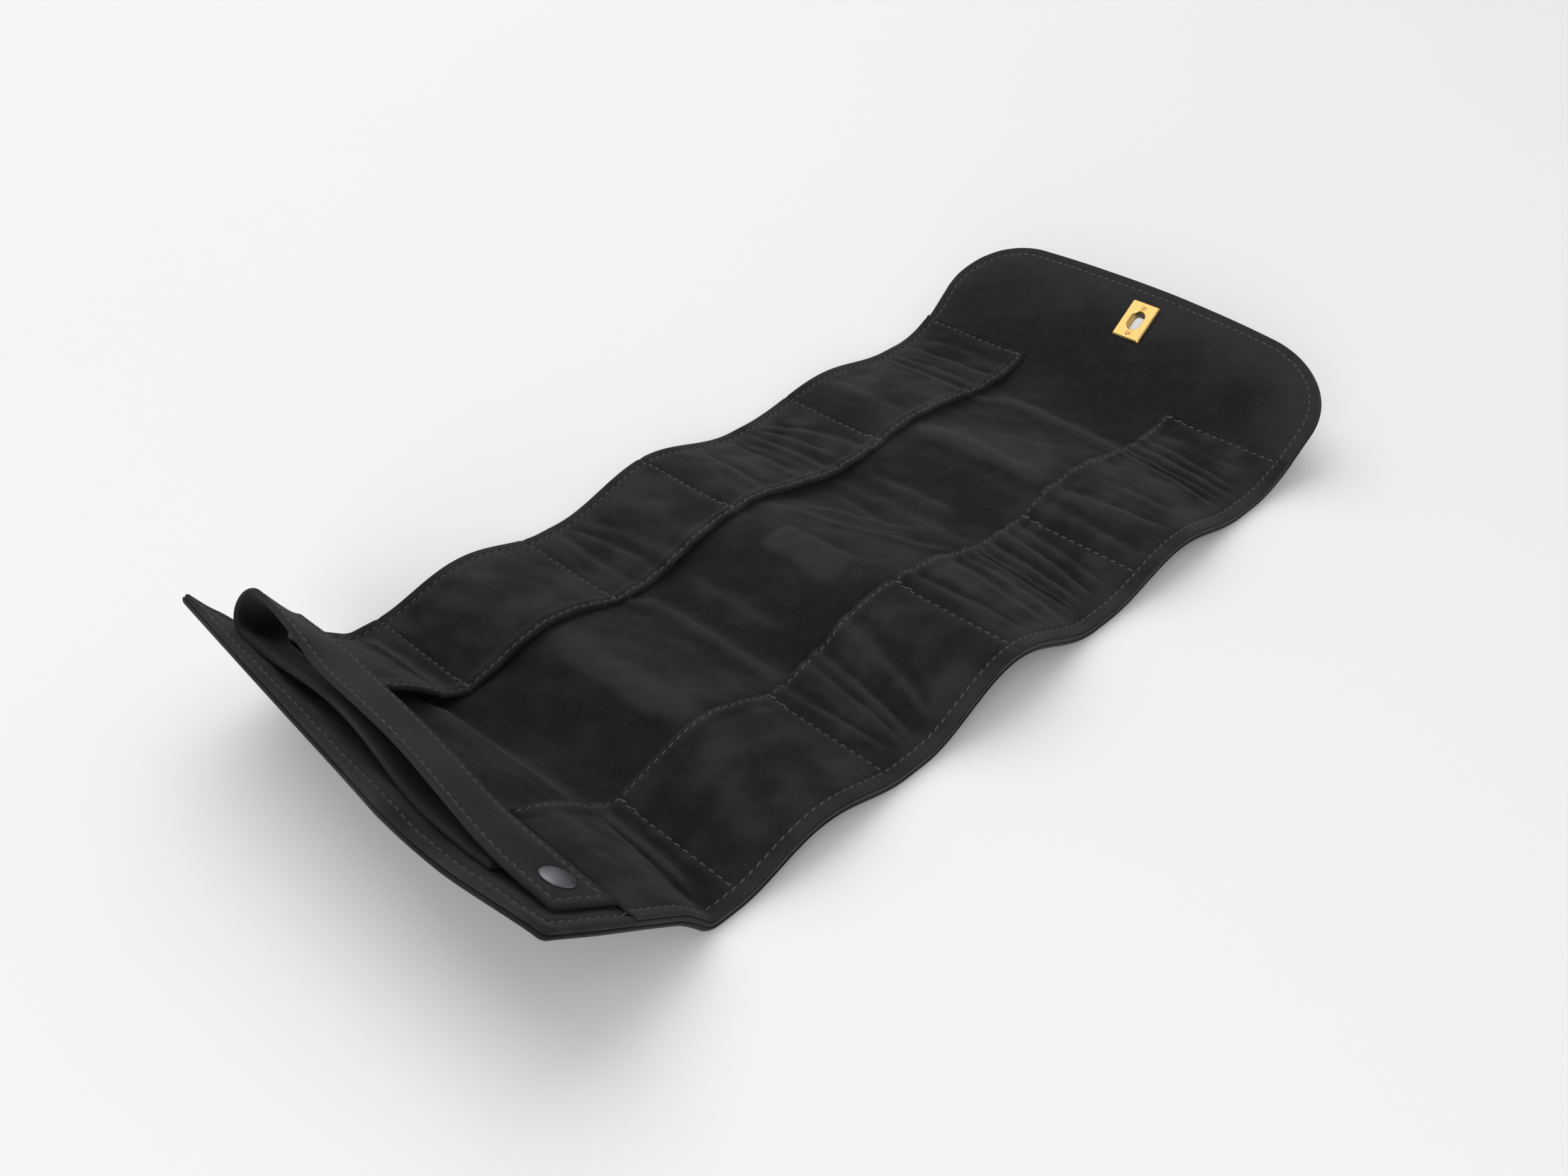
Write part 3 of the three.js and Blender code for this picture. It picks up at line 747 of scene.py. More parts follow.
@dataclass(frozen=True)
class Metal:
    """Plated metal with faint brushing, and dulling where fingers touch it."""

    name: str
    colour: Trio
    rough: float
    dulled: float = 0.82
    smear_scale: float = 240.0
    scratch_scale: float = 900.0
    scratch_stretch: Trio = (1.0, 9.0, 1.0)

    def material(self) -> Material:
        """Roughness and colour drift over the surface, with fine scratches in the bump.

        Returns:
            The material.
        """
        graph = Graph(self.name)
        place = graph.coordinates("Object")
        smear = graph.noise(place, self.smear_scale, 4.0, 0.6)
        scratch = graph.noise(graph.stretched(place, self.scratch_stretch), self.scratch_scale, 2.0, 0.5)
        worn = graph.eased(smear, 0.3, 0.7)
        return graph.finish({
            "Base Color": graph.mixed(worn, opaque(self.colour, self.dulled), opaque(self.colour)),
            "Metallic": 1.0,
            "Roughness": self.rough + 0.14 * graph.eased(smear, 0.4, 0.8) + 0.05 * scratch,
            "Normal": graph.bump(scratch, 0.08, 0.0001),
        })


@dataclass
class Palette:
    """The finishes, made once."""

    shell: Material = field(default_factory=Suede("suede_shell", 0.0056, 0.020).material)
    lining: Material = field(default_factory=Suede("suede_lining", 0.0052, 0.0235).material)
    felt: Material = field(default_factory=Felt().material)
    thread: Material = field(default_factory=Thread().material)
    gilt: Material = field(default_factory=Metal("gilt", (0.66, 0.44, 0.15), 0.30).material)
    gunmetal: Material = field(default_factory=Metal("gunmetal", (0.17, 0.175, 0.19), 0.42).material)

    def plated(self, finish: Plating) -> Material:
        """The material of a plating."""
        return self.gilt if finish is Plating.GILT else self.gunmetal


def grid_quads(rows: int, columns: int) -> Array:
    """Corners of the quads of a grid, which face up when rows run along X and columns along Y."""
    i = np.arange(rows * columns).reshape(rows, columns)
    return np.stack([i[:-1, :-1], i[1:, :-1], i[1:, 1:], i[:-1, 1:]], axis=-1)


def slab_quads(rows: int, columns: int, hole: Hole | None = None) -> Array:
    """Quads of a closed slab between an upper and a lower grid.

    Args:
        rows: rows of each grid.
        columns: columns of each grid.
        hole: first and last row, and first and last column, of a hole through the slab.

    Returns:
        Corner numbers, with the lower grid's vertices after the upper grid's.
    """
    size = rows * columns
    upper = grid_quads(rows, columns)
    keep = np.ones(upper.shape[:2], bool)
    index = np.arange(size).reshape(rows, columns)

    def wall(line: Array) -> Array:
        """Quads down from a line of the upper grid, facing its right hand."""
        return np.stack([line[:-1], line[:-1] + size, line[1:] + size, line[1:]], axis=-1)

    walls = [wall(index[:, 0]), wall(index[-1, :]), wall(index[::-1, -1]), wall(index[0, ::-1])]
    if hole:
        keep[hole[0] : hole[1], hole[2] : hole[3]] = False
        block = index[hole[0] : hole[1] + 1, hole[2] : hole[3] + 1]
        walls += [wall(block[::-1, 0]), wall(block[-1, ::-1]), wall(block[:, -1]), wall(block[0, :])]
    kept = upper[keep]
    return np.concatenate([kept, kept[:, ::-1] + size, *walls])


def ring_quads(index: Array) -> Array:
    """Corners of the quads between rings, whose vertex numbers are the rows of an index."""
    ahead = np.roll(index, -1, axis=1)
    return np.stack([index[:-1], ahead[:-1], ahead[1:], index[1:]], axis=-1).reshape(-1, 4)


def ring_faces(rings: int, count: int, closed: bool) -> list[tuple[int, ...]]:
    """Faces of stacked rings.

    Args:
        rings: number of rings.
        count: vertices in each ring.
        closed: True joins the last ring to the first, and otherwise two caps close the stack.

    Returns:
        Corner numbers of each face.
    """
    index = np.arange(rings * count).reshape(rings, count)
    if closed:
        index = np.concatenate([index, index[:1]])
    faces = [tuple(quad) for quad in ring_quads(index).tolist()]
    if not closed:
        faces.append(tuple(index[0, ::-1].tolist()))
        faces.append(tuple(index[-1].tolist()))
    return faces


def make_piece(
    name: str,
    points: Array,
    faces: Array | list,
    material: Material,
    nap: Array | None = None,
) -> Piece:
    """Makes a smooth mesh object at the origin.

    Args:
        name: the piece's name.
        points: vertices in metres.
        faces: corner numbers.
        material: its finish.
        nap: brushing of the suede with painted highlights and shade, one value for each vertex.

    Returns:
        The object, linked to the scene.
    """
    mesh = bpy.data.meshes.new(name)
    flat = np.ascontiguousarray(points, dtype=np.float32).reshape(-1, 3)
    if isinstance(faces, list):
        mesh.from_pydata(flat.tolist(), [], faces)
    else:
        mesh.vertices.add(len(flat))
        mesh.vertices.foreach_set("co", flat.ravel())
        mesh.loops.add(faces.size)
        mesh.loops.foreach_set("vertex_index", faces.astype(np.int32).ravel())
        mesh.polygons.add(len(faces))
        starts = np.arange(0, faces.size, faces.shape[1], dtype=np.int32)
        mesh.polygons.foreach_set("loop_start", starts)
    mesh.update(calc_edges=True)
    mesh.validate()
    mesh.polygons.foreach_set("use_smooth", np.ones(len(mesh.polygons), bool))
    if nap is not None:
        layer = mesh.attributes.new("nap", "FLOAT", "POINT")
        layer.data.foreach_set("value", np.ascontiguousarray(nap, dtype=np.float32).ravel())
    mesh.materials.append(material)
    piece = bpy.data.objects.new(name, mesh)
    bpy.context.scene.collection.objects.link(piece)
    return piece


def sharpen(piece: Piece, ends: Array) -> None:
    """Marks the edges of a slab's cut ends as sharp, so that two lengths shade as one.

    Args:
        piece: the slab's object.
        ends: for each vertex 1 or 2 on a cut end, and otherwise 0.
    """
    mesh = piece.data
    pairs = np.zeros(len(mesh.edges) * 2, np.int32)
    mesh.edges.foreach_get("vertices", pairs)
    found = ends[pairs.reshape(-1, 2)]
    sharp = (found[:, 0] == found[:, 1]) & (found[:, 0] > 0)
    layer = mesh.attributes.new("sharp_edge", "BOOLEAN", "EDGE")
    layer.data.foreach_set("value", sharp)


def bend_over(piece: Piece, shape: RollShape, fold: Fold) -> None:
    """Works out a fold line's reach and bakes a piece's transform into its mesh.

    Args:
        piece: the mesh object.
        shape: the roll's drape.
        fold: the fold line.
    """
    line = shape.origin + shape.folds[fold]
    start = ((line - fold.back) * MM, 0.0, 0.0)
    end = ((line + fold.ahead) * MM, 0.0, 0.0)
    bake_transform(piece)


@dataclass
class Slab:
    """A draped slab between two grids of points, which is cut into lengths that each bend over one fold."""

    shape: RollShape
    rows: Array
    upper: Array
    lower: Array
    nap: Array
    material: Material

    def span(self, fold: Fold) -> slice:
        """Rows of the length that bends over a fold, from one cut to the next."""
        first, last = (nearest(self.rows, cut) for cut in self.shape.splits[fold.order : fold.order + 2])
        return slice(first, last + 1)

    def length(self, name: str, fold: Fold, hole: Hole | None = None) -> Piece:
        """Makes the length that bends over a fold.

        Args:
            name: the piece's name.
            fold: the fold line.
            hole: first and last row, and first and last column, of a hole through it.

        Returns:
            The object, which shades on into the lengths beside it.
        """
        span = self.span(fold)
        grid = self.nap[span].shape
        points = np.concatenate([self.upper[span].reshape(-1, 3), self.lower[span].reshape(-1, 3)])
        nap = np.tile(self.nap[span].ravel(), 2)
        piece = make_piece(name, points, slab_quads(*grid, hole), self.material, nap)
        ends = np.zeros(grid, np.int32)
        if fold is not Fold.END:
            ends[0] = 1
        if fold is not Fold.FLAP:
            ends[-1] = 2
        sharpen(piece, np.tile(ends.ravel(), 2))
        bend_over(piece, self.shape, fold)
        return piece


@dataclass
class Lining:
    """The suede lining: its relief between the pocket strips, on the raised end and on the flap."""

    shape: RollShape
    level: float = 3.4
    stitch_inset: float = 4.4
    mouth: float = 35.0
    strip_start: float = -41.0
    strip_stop: float = 301.5
    cover_across: Pair = (-1.0, 8.0)
    cover_along: Pair = (-2.0, 3.0)
    button_d: float = 123.5
    button_y: float = -2.0
    button_half: float = 17.0
    button_fade: Pair = (4.5, 8.0)
    button_ends: Pair = (-4.0, 2.0)
    button_rise: float = 1.1
    plate_calm: float = 20.0
    bed_depth: float = 0.5
    bed_half: Pair = (9.0, 6.5)
    bed_fade: Pair = (0.2, 3.0)
    groove_depth: float = 0.35
    groove_width: float = 0.8
    outer_groove: float = 0.3
    rim_width: float = 2.2
    ripples: tuple[Ripple, ...] = (Ripple(21, 27.0, 0.30), Ripple(22, 10.0, 0.12))
    patches: tuple[Ripple, ...] = (Ripple(23, 40.0, 0.16), Ripple(24, 13.0, 0.10))
    # Spans of d that rise and fall, where painted highlights lie on the crests of the first and third waves.
    painted_crest_highlights: tuple[tuple[Pair, Pair], ...] = (
        ((31.0, 37.0), (42.0, 60.0)),
        ((219.0, 224.0), (228.0, 244.0)),
    )
    nap_base: float = 0.12
    creases: tuple[Crease, ...] = (
        Crease((-12.5, 36.0), (-5.5, -34.0), 4.6, 3.2),
        Crease((28.0, 26.0), (30.0, -34.0), 4.5, -0.6),
        Crease((37.0, 30.0), (40.0, -36.0), 5.0, 1.4),
        Crease((69.0, 38.0), (77.0, 27.0), 2.3, 1.2),
        Crease((77.3, 28.0), (78.0, -36.0), 2.2, 1.4),
        Crease((84.0, 30.0), (85.0, -32.0), 3.4, -0.7),
        Crease((95.2, 28.0), (95.4, -24.0), 2.4, 0.9),
        Crease((101.0, 26.0), (102.0, -20.0), 3.0, -0.4),
        Crease((138.0, 30.0), (147.0, 5.0), 2.3, 1.0),
        Crease((147.0, 5.0), (172.0, -29.0), 2.4, 1.1),
        Crease((150.0, 26.0), (178.0, -18.0), 2.2, 0.8),
        Crease((167.0, 26.0), (165.5, 2.0), 2.4, 0.8),
        Crease((177.0, 36.0), (178.0, -36.0), 3.0, 0.8),
        Crease((188.2, 28.0), (190.0, -14.0), 2.4, 1.0),
        Crease((214.0, 26.0), (215.0, -30.0), 4.0, -0.6),
        Crease((224.0, 30.0), (223.0, -30.0), 4.4, 1.5),
        Crease((261.0, 37.0), (271.0, 22.0), 2.6, 1.0),
        Crease((271.5, 24.0), (269.0, -36.0), 3.4, 1.5),
    )

    def covered(self, d: Array, y: Array) -> Array:
        """1 where a pocket strip lies on the lining, 0 where it is bare.

        Args:
            d: distances.
            y: places across.

        Returns:
            Shares from 0 to 1.
        """
        outer, inner = self.cover_along
        across = eased(np.abs(y) - self.mouth, *self.cover_across)
        along = eased(d - self.strip_start, outer, inner)
        return across * along * (1.0 - eased(d - self.strip_stop, -inner, -outer))

    def relief(self, d: Array, y: Array) -> Array:
        """Folds, the print of the button through the suede, and small ripples, with none round the plate.

        Args:
            d: distances.
            y: places across.

        Returns:
            Heights.
        """
        total = summed(self.creases, d, y) + self.button_rise * self.printed(d, y)
        total = total + summed(self.ripples, d, y)
        calm = 1.0 - bell(np.hypot(d - self.shape.plate, y), self.plate_calm)
        return total * (1.0 - self.covered(d, y)) * calm

    def printed(self, d: Array, y: Array) -> Array:
        """1 on the patch that the turn button behind the lining pushes up, and 0 away from it."""
        along = 1.0 - eased(np.abs(d - self.button_d), *self.button_fade)
        return along * (1.0 - eased(np.abs(y - self.button_y) - self.button_half, *self.button_ends))

    def pressed(self, d: Array, y: Array) -> Array:
        """Depth of the bed that the lock plate presses into the suede."""
        beyond = np.maximum(np.abs(d - self.shape.plate) - self.bed_half[0], np.abs(y) - self.bed_half[1])
        return self.bed_depth * (1.0 - eased(beyond, *self.bed_fade))

    def groove(self, d: Array, y: Array) -> Array:
        """Depth of the furrow that the edge stitching draws."""
        return self.groove_depth * bell(self.shape.edge(d, y) - self.stitch_inset, self.groove_width)

    def outer_face(self, d: Array, y: Array) -> Array:
        """Height of the shell's outer face, which the same stitching furrows a little."""
        return self.outer_groove * self.groove(d, y)

    def top(self, d: Array, y: Array) -> Array:
        """Height of the lining's face."""
        rim = rounded_rim(self.shape.edge(d, y), self.rim_width)
        return self.level + self.relief(d, y) * rim - self.groove(d, y) - self.pressed(d, y)

    def nap(self, d: Array, y: Array) -> Array:
        """Brushing of the suede with painted light: painted highlights on the wave crests, the folds, the
        button's print, the edges and the flap's far end, painted light beside the strap, and loose brushed
        patches.

        Args:
            d: distances.
            y: places across.

        Returns:
            Brushing and painted light from 0 to about 1.
        """
        shape = self.shape
        edge = shape.edge(d, y)
        # Painted highlights: bands on the wave crests, the flap's far end, a rim along the edges, and the
        # folds' ridges and the button's print.
        painted_crest_highlights = sum(eased(d, *rise) * (1.0 - eased(d, *fall)) for rise, fall in self.painted_crest_highlights)
        out = eased(d, shape.flap + 20.0, shape.tip) * bell(edge, 26.0)
        loose = summed(self.patches, d, y) * (1.0 - 0.6 * eased(d, shape.flap, shape.flap + 20.0))
        folds = 0.48 * summed(self.creases, d, y) + 0.85 * self.printed(d, y)
        # Painted light that lightens the shaded lining beside the strap on the end.
        painted_light_under_strap = 0.3 * bell(d + 66.0, 9.0) * bell(y - 10.0, 45.0)
        total = folds + 0.42 * painted_crest_highlights * bell(y, 34.0) + 0.45 * bell(edge, 9.0) + 0.6 * out
        return np.clip(total + painted_light_under_strap + loose + self.nap_base, 0.0, MOST_NAP)


@dataclass
class Layers:
    """The three layers of the sheet, each cut into five lengths that bend over one fold."""

    shape: RollShape
    lining: Lining
    palette: Palette
    row_step: float = 1.3
    column_step: float = 1.7
    corner_rows: int = 26
    hole_length: float = 9.8
    hole_width: float = 7.0
    shell_top: float = 1.55
    felt_low: float = 1.6
    felt_high: float = 1.9
    lining_low: float = 1.95
    pinch_reach: Pair = (2.0, 5.5)
    shell_pinch: float = 0.2
    lining_pinch: float = 0.17
    pull_power: int = 6
    rounding: float = 0.7
    covered_rim: float = 0.7
    nap_base: float = 0.3
    patches: Ripple = Ripple(31, 55.0, 0.3)

    def rows(self) -> Array:
        """Distances of the grid's rows, closer at the ends, the stitching and the cuts.

        Returns:
            Rising distances in mm.
        """
        shape = self.shape
        end = -shape.end_length
        marks = [end + step for step in RIM_STEPS] + [shape.tip - step for step in RIM_STEPS]
        marks += around([end + self.lining.stitch_inset], GROOVE_STEPS)
        turn = np.linspace(0.0, math.pi / 2, self.corner_rows)
        marks += list(shape.tip - shape.flap_corner * (1.0 - np.sin(turn)))
        marks += around(shape.splits[1:-1], CUT_STEPS)
        marks += around([shape.plate], (-self.hole_length / 2, self.hole_length / 2))
        return stations(end + CLOSEST, shape.tip - CLOSEST, self.row_step, marks)

    def columns(self) -> Array:
        """Places across as shares of the half width, from -1 to 1.

        Returns:
            Rising shares.
        """
        half = self.shape.half_width
        marks = [half - step for step in RIM_STEPS] + [self.hole_width / 2]
        marks += around([half - self.lining.stitch_inset], GROOVE_STEPS)
        side = stations(0.0, half - CLOSEST, self.column_step, marks)
        return np.concatenate([-side[:0:-1], side]) / half

    def faces(self, ply: Ply, d: Array, y: Array) -> tuple[Array, Array]:
        """Heights of a layer's faces: shell and lining meet where the felt between them ends.

        Args:
            ply: the layer.
            d: distances.
            y: places across.

        Returns:
            Height of the lower and of the upper face in mm.
        """
        bare = np.zeros_like(y)
        pinched = 1.0 - eased(self.shape.edge(d, y), *self.pinch_reach)
        if ply is Ply.SHELL:
            return self.lining.outer_face(d, y), self.shell_top + self.shell_pinch * pinched
        if ply is Ply.FELT:
            return bare + self.felt_low, bare + self.felt_high
        return self.lining_low - self.lining_pinch * pinched, self.lining.top(d, y)

    def slab(self, ply: Ply, rows: Array, shares: Array, material: Material) -> Slab:
        """A whole layer, whose faces are drawn together at the rim by what the rounding takes off.

        Args:
            ply: the layer.
            rows: distances of the grid's rows.
            shares: places across as shares of the half width.
            material: its finish.

        Returns:
            The layer before it is cut.
        """
        shape = self.shape
        d = rows[:, None]
        inside = shape.edge(d, shares * shape.half(d))
        y = shares * (shape.half(d) - ply.inset)
        at_end = np.clip(-d / shape.end_length, 0.0, 1.0) ** self.pull_power
        at_tip = shape.out(d) ** self.pull_power
        d = d + ply.inset * (at_end - at_tip) + np.zeros_like(y)
        low, high = self.faces(ply, d, y)
        lost = (high - low) * (1.0 - rounded_rim(inside, self.rounding * (high - low)))
        nap = self.nap_base + self.patches.at(d, y)
        if ply is Ply.LINING:
            lost = lost * (1.0 - self.covered_rim * self.lining.covered(d, y))
            nap = self.lining.nap(d, y)
        upper = shape.place(d, y, high - ply.share * lost)
        lower = shape.place(d, y, low + (1.0 - ply.share) * lost)
        return Slab(shape, rows, upper, lower, nap, material)

    def hole(self, rows: Array, shares: Array) -> Hole:
        """The hole for the turn button, as it lies in a grid.

        Args:
            rows: distances of the grid's rows.
            shares: places across as shares of the half width.

        Returns:
            First and last row, and first and last column.
        """
        along = self.hole_length / 2
        across = self.hole_width / 2 / self.shape.half_width
        first, last = (nearest(rows, self.shape.plate + away) for away in (-along, along))
        return first, last, nearest(shares, -across), nearest(shares, across)

    def build(self) -> list[Piece]:
        """Makes shell, interlining and lining.

        Returns:
            The lengths of each layer, from the end to the flap.
        """
        rows = self.rows()
        shares = self.columns()
        made = []
        for ply, material in zip(Ply, (self.palette.shell, self.palette.felt, self.palette.lining)):
            slab = self.slab(ply, rows, shares, material)
            for fold in Fold:
                hole = self.hole(rows[slab.span(fold)], shares) if fold is Fold.FLAP else None
                piece = slab.length(f"{ply.label}_{fold.joint}", fold, hole)
                self.dress(ply, fold)
                made.append(piece)
        return made

    def dress(self, ply: Ply, fold: Fold) -> None:
        """Hides the nodes that a length stands for; its flat size is worked out but not kept.

        Args:
            ply: its layer.
            fold: its fold line.
        """
        k = fold.order
        nodes = [f"{ply.label}_{panel}" for panel in PANELS[k : k + 2]]
        if fold is Fold.FLAP and ply is not Ply.FELT:
            nodes += [f"{ply.label}_flap_{part}" for part in ("near", "far", "tip")]
        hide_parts(*nodes)
        start, stop = self.shape.splits[k : k + 2]
        (stop - start) * MM


# Cross seams and the lifts of the mouths between them, in mm.
SEAMS = {
    Side.NEAR: (6.7, 68.0, 129.0, 202.5, 299.3),
    Side.FAR: (5.4, 66.5, 125.2, 206.0, 299.3),
}
LIFTS = {
    Side.NEAR: (6.2, 1.8, 3.6, 5.0, 4.0),
    Side.FAR: (6.2, 1.6, 2.3, 3.4, 2.6),
}
# Each wrinkle's distance at the mouth and at the outer edge, its height and its half width, in mm.
WRINKLES = {
    Side.NEAR: (
        (-3.2, -4.2, 1.9, 2.6), (40.0, 42.0, 0.5, 4.0), (57.0, 59.0, 0.3, 3.0),
        (72.8, 77.4, 1.2, 1.6), (86.5, 79.5, 0.8, 1.4), (93.3, 82.5, 1.1, 1.6),
        (107.4, 91.0, 1.0, 2.0), (132.8, 139.5, 1.3, 1.7), (149.0, 152.0, 0.6, 2.2),
        (158.0, 161.0, 0.5, 1.8), (166.4, 169.0, 1.1, 1.6), (172.4, 171.5, 0.8, 1.4),
        (178.0, 174.5, 1.1, 1.6), (188.3, 178.5, 1.1, 1.6), (195.5, 186.5, 0.9, 1.6),
        (209.0, 208.0, 0.9, 1.8), (216.4, 226.0, 1.1, 2.0), (229.0, 238.0, 0.5, 2.2),
        (259.9, 255.3, 1.1, 1.7), (265.5, 262.0, 0.9, 1.5), (271.2, 268.2, 1.2, 1.7),
        (278.0, 273.0, 0.7, 1.7), (287.0, 284.0, 0.4, 2.2),
    ),
    Side.FAR: (
        (-4.0, -6.0, 1.6, 2.6), (38.0, 40.0, 0.5, 4.0), (75.0, 79.0, 0.9, 1.8),
        (88.0, 81.0, 0.8, 1.8), (98.0, 86.0, 0.6, 2.0), (110.0, 104.0, 0.4, 3.0),
        (140.0, 150.0, 0.8, 1.8), (158.0, 166.0, 0.8, 1.8), (176.0, 174.0, 0.9, 1.7),
        (186.0, 178.0, 0.7, 1.7), (198.0, 179.0, 1.0, 2.0), (222.0, 226.0, 0.5, 3.0),
        (256.0, 262.0, 0.8, 1.8), (266.0, 266.0, 0.9, 1.7), (277.0, 275.3, 1.0, 1.8),
        (288.0, 284.0, 0.5, 2.0),
    ),
}


@dataclass
class PocketStrip:
    """A pocket strip along a long side: sewn at its outer edge and the cross seams, open to the middle."""

    shape: RollShape
    lining: Lining
    palette: Palette
    side: Side
    outer: float = 89.6
    thickness: float = 1.1
    hem_thickness: float = 1.9
    hem_width: float = 5.4
    hem_turn: Pair = (-1.4, 0.6)
    hem_stitch: float = 1.9
    row_step: float = 1.0
    column_step: float = 1.2
    open_end: float = 14.0
    mouth_power: float = 1.2
    crease_pull: float = 0.25
    crease_reach: float = 8.0
    seam_reach: float = 2.6
    calm_edge: float = 9.0
    edge_groove: Pair = (0.42, 0.9)
    hem_groove: Pair = (0.30, 0.8)
    seam_groove: Pair = (0.45, 1.0)
    puff_power: float = 1.1
    body: float = 0.5
    deepest: float = -0.5
    over_lining: float = 0.05
    clear_lining: float = 0.03
    rounding: float = 0.6
    rim_share: float = 0.7
    nap_base: float = 0.16
    seams: tuple[float, ...] = field(init=False)
    lifts: tuple[float, ...] = field(init=False)
    folds: tuple[Wrinkle, ...] = field(init=False)
    ripples: tuple[Ripple, ...] = field(init=False)
    patches: tuple[Ripple, ...] = field(init=False)

    def __post_init__(self) -> None:
        """Takes the seams, the lifts of the mouths, the wrinkles and the ripples of this side."""
        self.seams = SEAMS[self.side]
        self.lifts = LIFTS[self.side]
        self.folds = tuple(Wrinkle(*row) for row in WRINKLES[self.side])
        self.ripples = (Ripple(41 + self.side, 24.0, 0.26), Ripple(51 + self.side, 9.0, 0.12))
        self.patches = (Ripple(61 + self.side, 30.0, 0.20), Ripple(63 + self.side, 12.0, 0.12))

    @property
    def name(self) -> str:
        """The side's name."""
        return self.side.name.lower()

    def inward(self, y: Array) -> Array:
        """Distance from the outer stitching towards the mouth."""
        return self.outer - self.lining.stitch_inset - np.abs(y)

    def covers(self, d: Array, y: Array) -> Array:
        """True where the strip lies on the lining."""
        along = (d > self.lining.strip_start) & (d < self.lining.strip_stop)
        return (y * self.side > self.lining.mouth) & along

    def lift(self, d: Array) -> Array:
        """How far the mouth stands off: a bowed line between two seams, drawn down at the creases.

        Args:
            d: distances.

        Returns:
            Heights.
        """
        stops = (self.lining.strip_start - self.open_end, *self.seams)
        total = np.zeros(np.shape(d))
        for a, b, height in zip(stops[:-1], stops[1:], self.lifts):
            share = np.clip((d - a) / (b - a), 0.0, 1.0)
            total = total + height * np.maximum(np.sin(np.pi * share), 0.0) ** self.mouth_power
        for crease in self.shape.creases[1:]:
            total = total * (1.0 - self.crease_pull * bell(d - crease, self.crease_reach))
        return total

    def pinned(self, d: Array) -> Array:
        """0 at a cross seam and 1 away from it: the product of 1 less a bell at each seam."""
        return np.prod([1.0 - bell(d - seam, self.seam_reach) for seam in self.seams], axis=0)

    def wrinkles(self, d: Array, y: Array) -> Array:
        """The folds and small ripples, none of them at a seam."""
        ripple = summed(self.ripples, d, y) * eased(self.inward(y), 0.0, self.calm_edge)
        return (summed(self.folds, d, self.inward(y)) + ripple) * self.pinned(d)

    def grooves(self, d: Array, y: Array) -> Array:
        """Depth of the furrows drawn by the stitching: a bell across each line.

        Args:
            d: distances.
            y: places across.

        Returns:
            Depths in mm.
        """
        lines = [(self.inward(y), self.edge_groove)]
        lines += [(np.abs(y) - self.lining.mouth - self.hem_stitch, self.hem_groove)]
        lines += [(d - seam, self.seam_groove) for seam in self.seams]
        return sum(depth * bell(away, width) for away, (depth, width) in lines)

    def cloth(self, y: Array) -> Array:
        """Thickness: doubled in the hem along the mouth."""
        hem = 1.0 - eased(np.abs(y) - self.lining.mouth - self.hem_width, *self.hem_turn)
        return self.thickness + (self.hem_thickness - self.thickness) * hem

    def top(self, d: Array, y: Array) -> Array:
        """Height of the strip's face: the mouth's lift eased in from the stitching, with a soft body.

        Args:
            d: distances.
            y: places across.

        Returns:
            Heights.
        """
        span = self.outer - self.lining.stitch_inset - self.lining.mouth
        share = np.clip(self.inward(y) / span, 0.0, 1.0)
        puff = np.sin(np.pi / 2 * share**self.puff_power) * self.lift(d)
        body = self.body * np.sin(np.pi * share) * self.pinned(d)
        height = puff + body + self.wrinkles(d, y) - self.grooves(d, y)
        return self.lining.level + self.over_lining + self.cloth(y) + np.maximum(height, self.deepest)

    def bottom(self, d: Array, y: Array) -> Array:
        """Height of the strip's under side, never below the lining."""
        return np.maximum(self.top(d, y) - self.cloth(y), self.lining.top(d, y) + self.clear_lining)

    def nap(self, d: Array, y: Array) -> Array:
        """Painted highlights on the pockets' lifted mouths, ridges, outer rim and hem, painted shade in the
        wrinkles' furrows, and loose brushed patches.

        Args:
            d: distances.
            y: places across.

        Returns:
            Brushing and painted light from 0 to about 1.
        """
        swell = self.lift(d) / max(self.lifts)
        rim = bell(self.outer - np.abs(y), 6.0)
        hem = bell(np.abs(y) - self.lining.mouth, 4.0)
        # Painted highlight on swells, ridges, rim and hem, and painted shade in the furrows where the
        # wrinkles dip.
        total = 0.22 * swell + 0.50 * self.wrinkles(d, y) + 0.35 * rim + 0.25 * hem
        return np.clip(total + summed(self.patches, d, y) + self.nap_base, 0.0, MOST_NAP)

    def rows(self) -> Array:
        """Distances of the grid's rows, closer at the ends, the seams and the cuts.

        Returns:
            Rising distances in mm.
        """
        start, stop = self.lining.strip_start, self.lining.strip_stop
        marks = [start + step for step in RIM_STEPS] + [stop - step for step in RIM_STEPS]
        marks += around(self.seams, GROOVE_STEPS) + around(self.shape.splits[1:-1], CUT_STEPS)
        return stations(start + CLOSEST, stop - CLOSEST, self.row_step, marks)

    def columns(self) -> Array:
        """Places across of the grid's columns, closer at the edges and the stitching.

        Returns:
            Rising places in mm.
        """
        mouth, outer = self.lining.mouth, self.outer
        marks = [mouth + step for step in RIM_STEPS] + [outer - step for step in RIM_STEPS]
        marks += around([mouth + self.hem_stitch, outer - self.lining.stitch_inset], GROOVE_STEPS)
        columns = stations(mouth + CLOSEST, outer - CLOSEST, self.column_step, marks)
        return columns if self.side is Side.FAR else -columns[::-1]

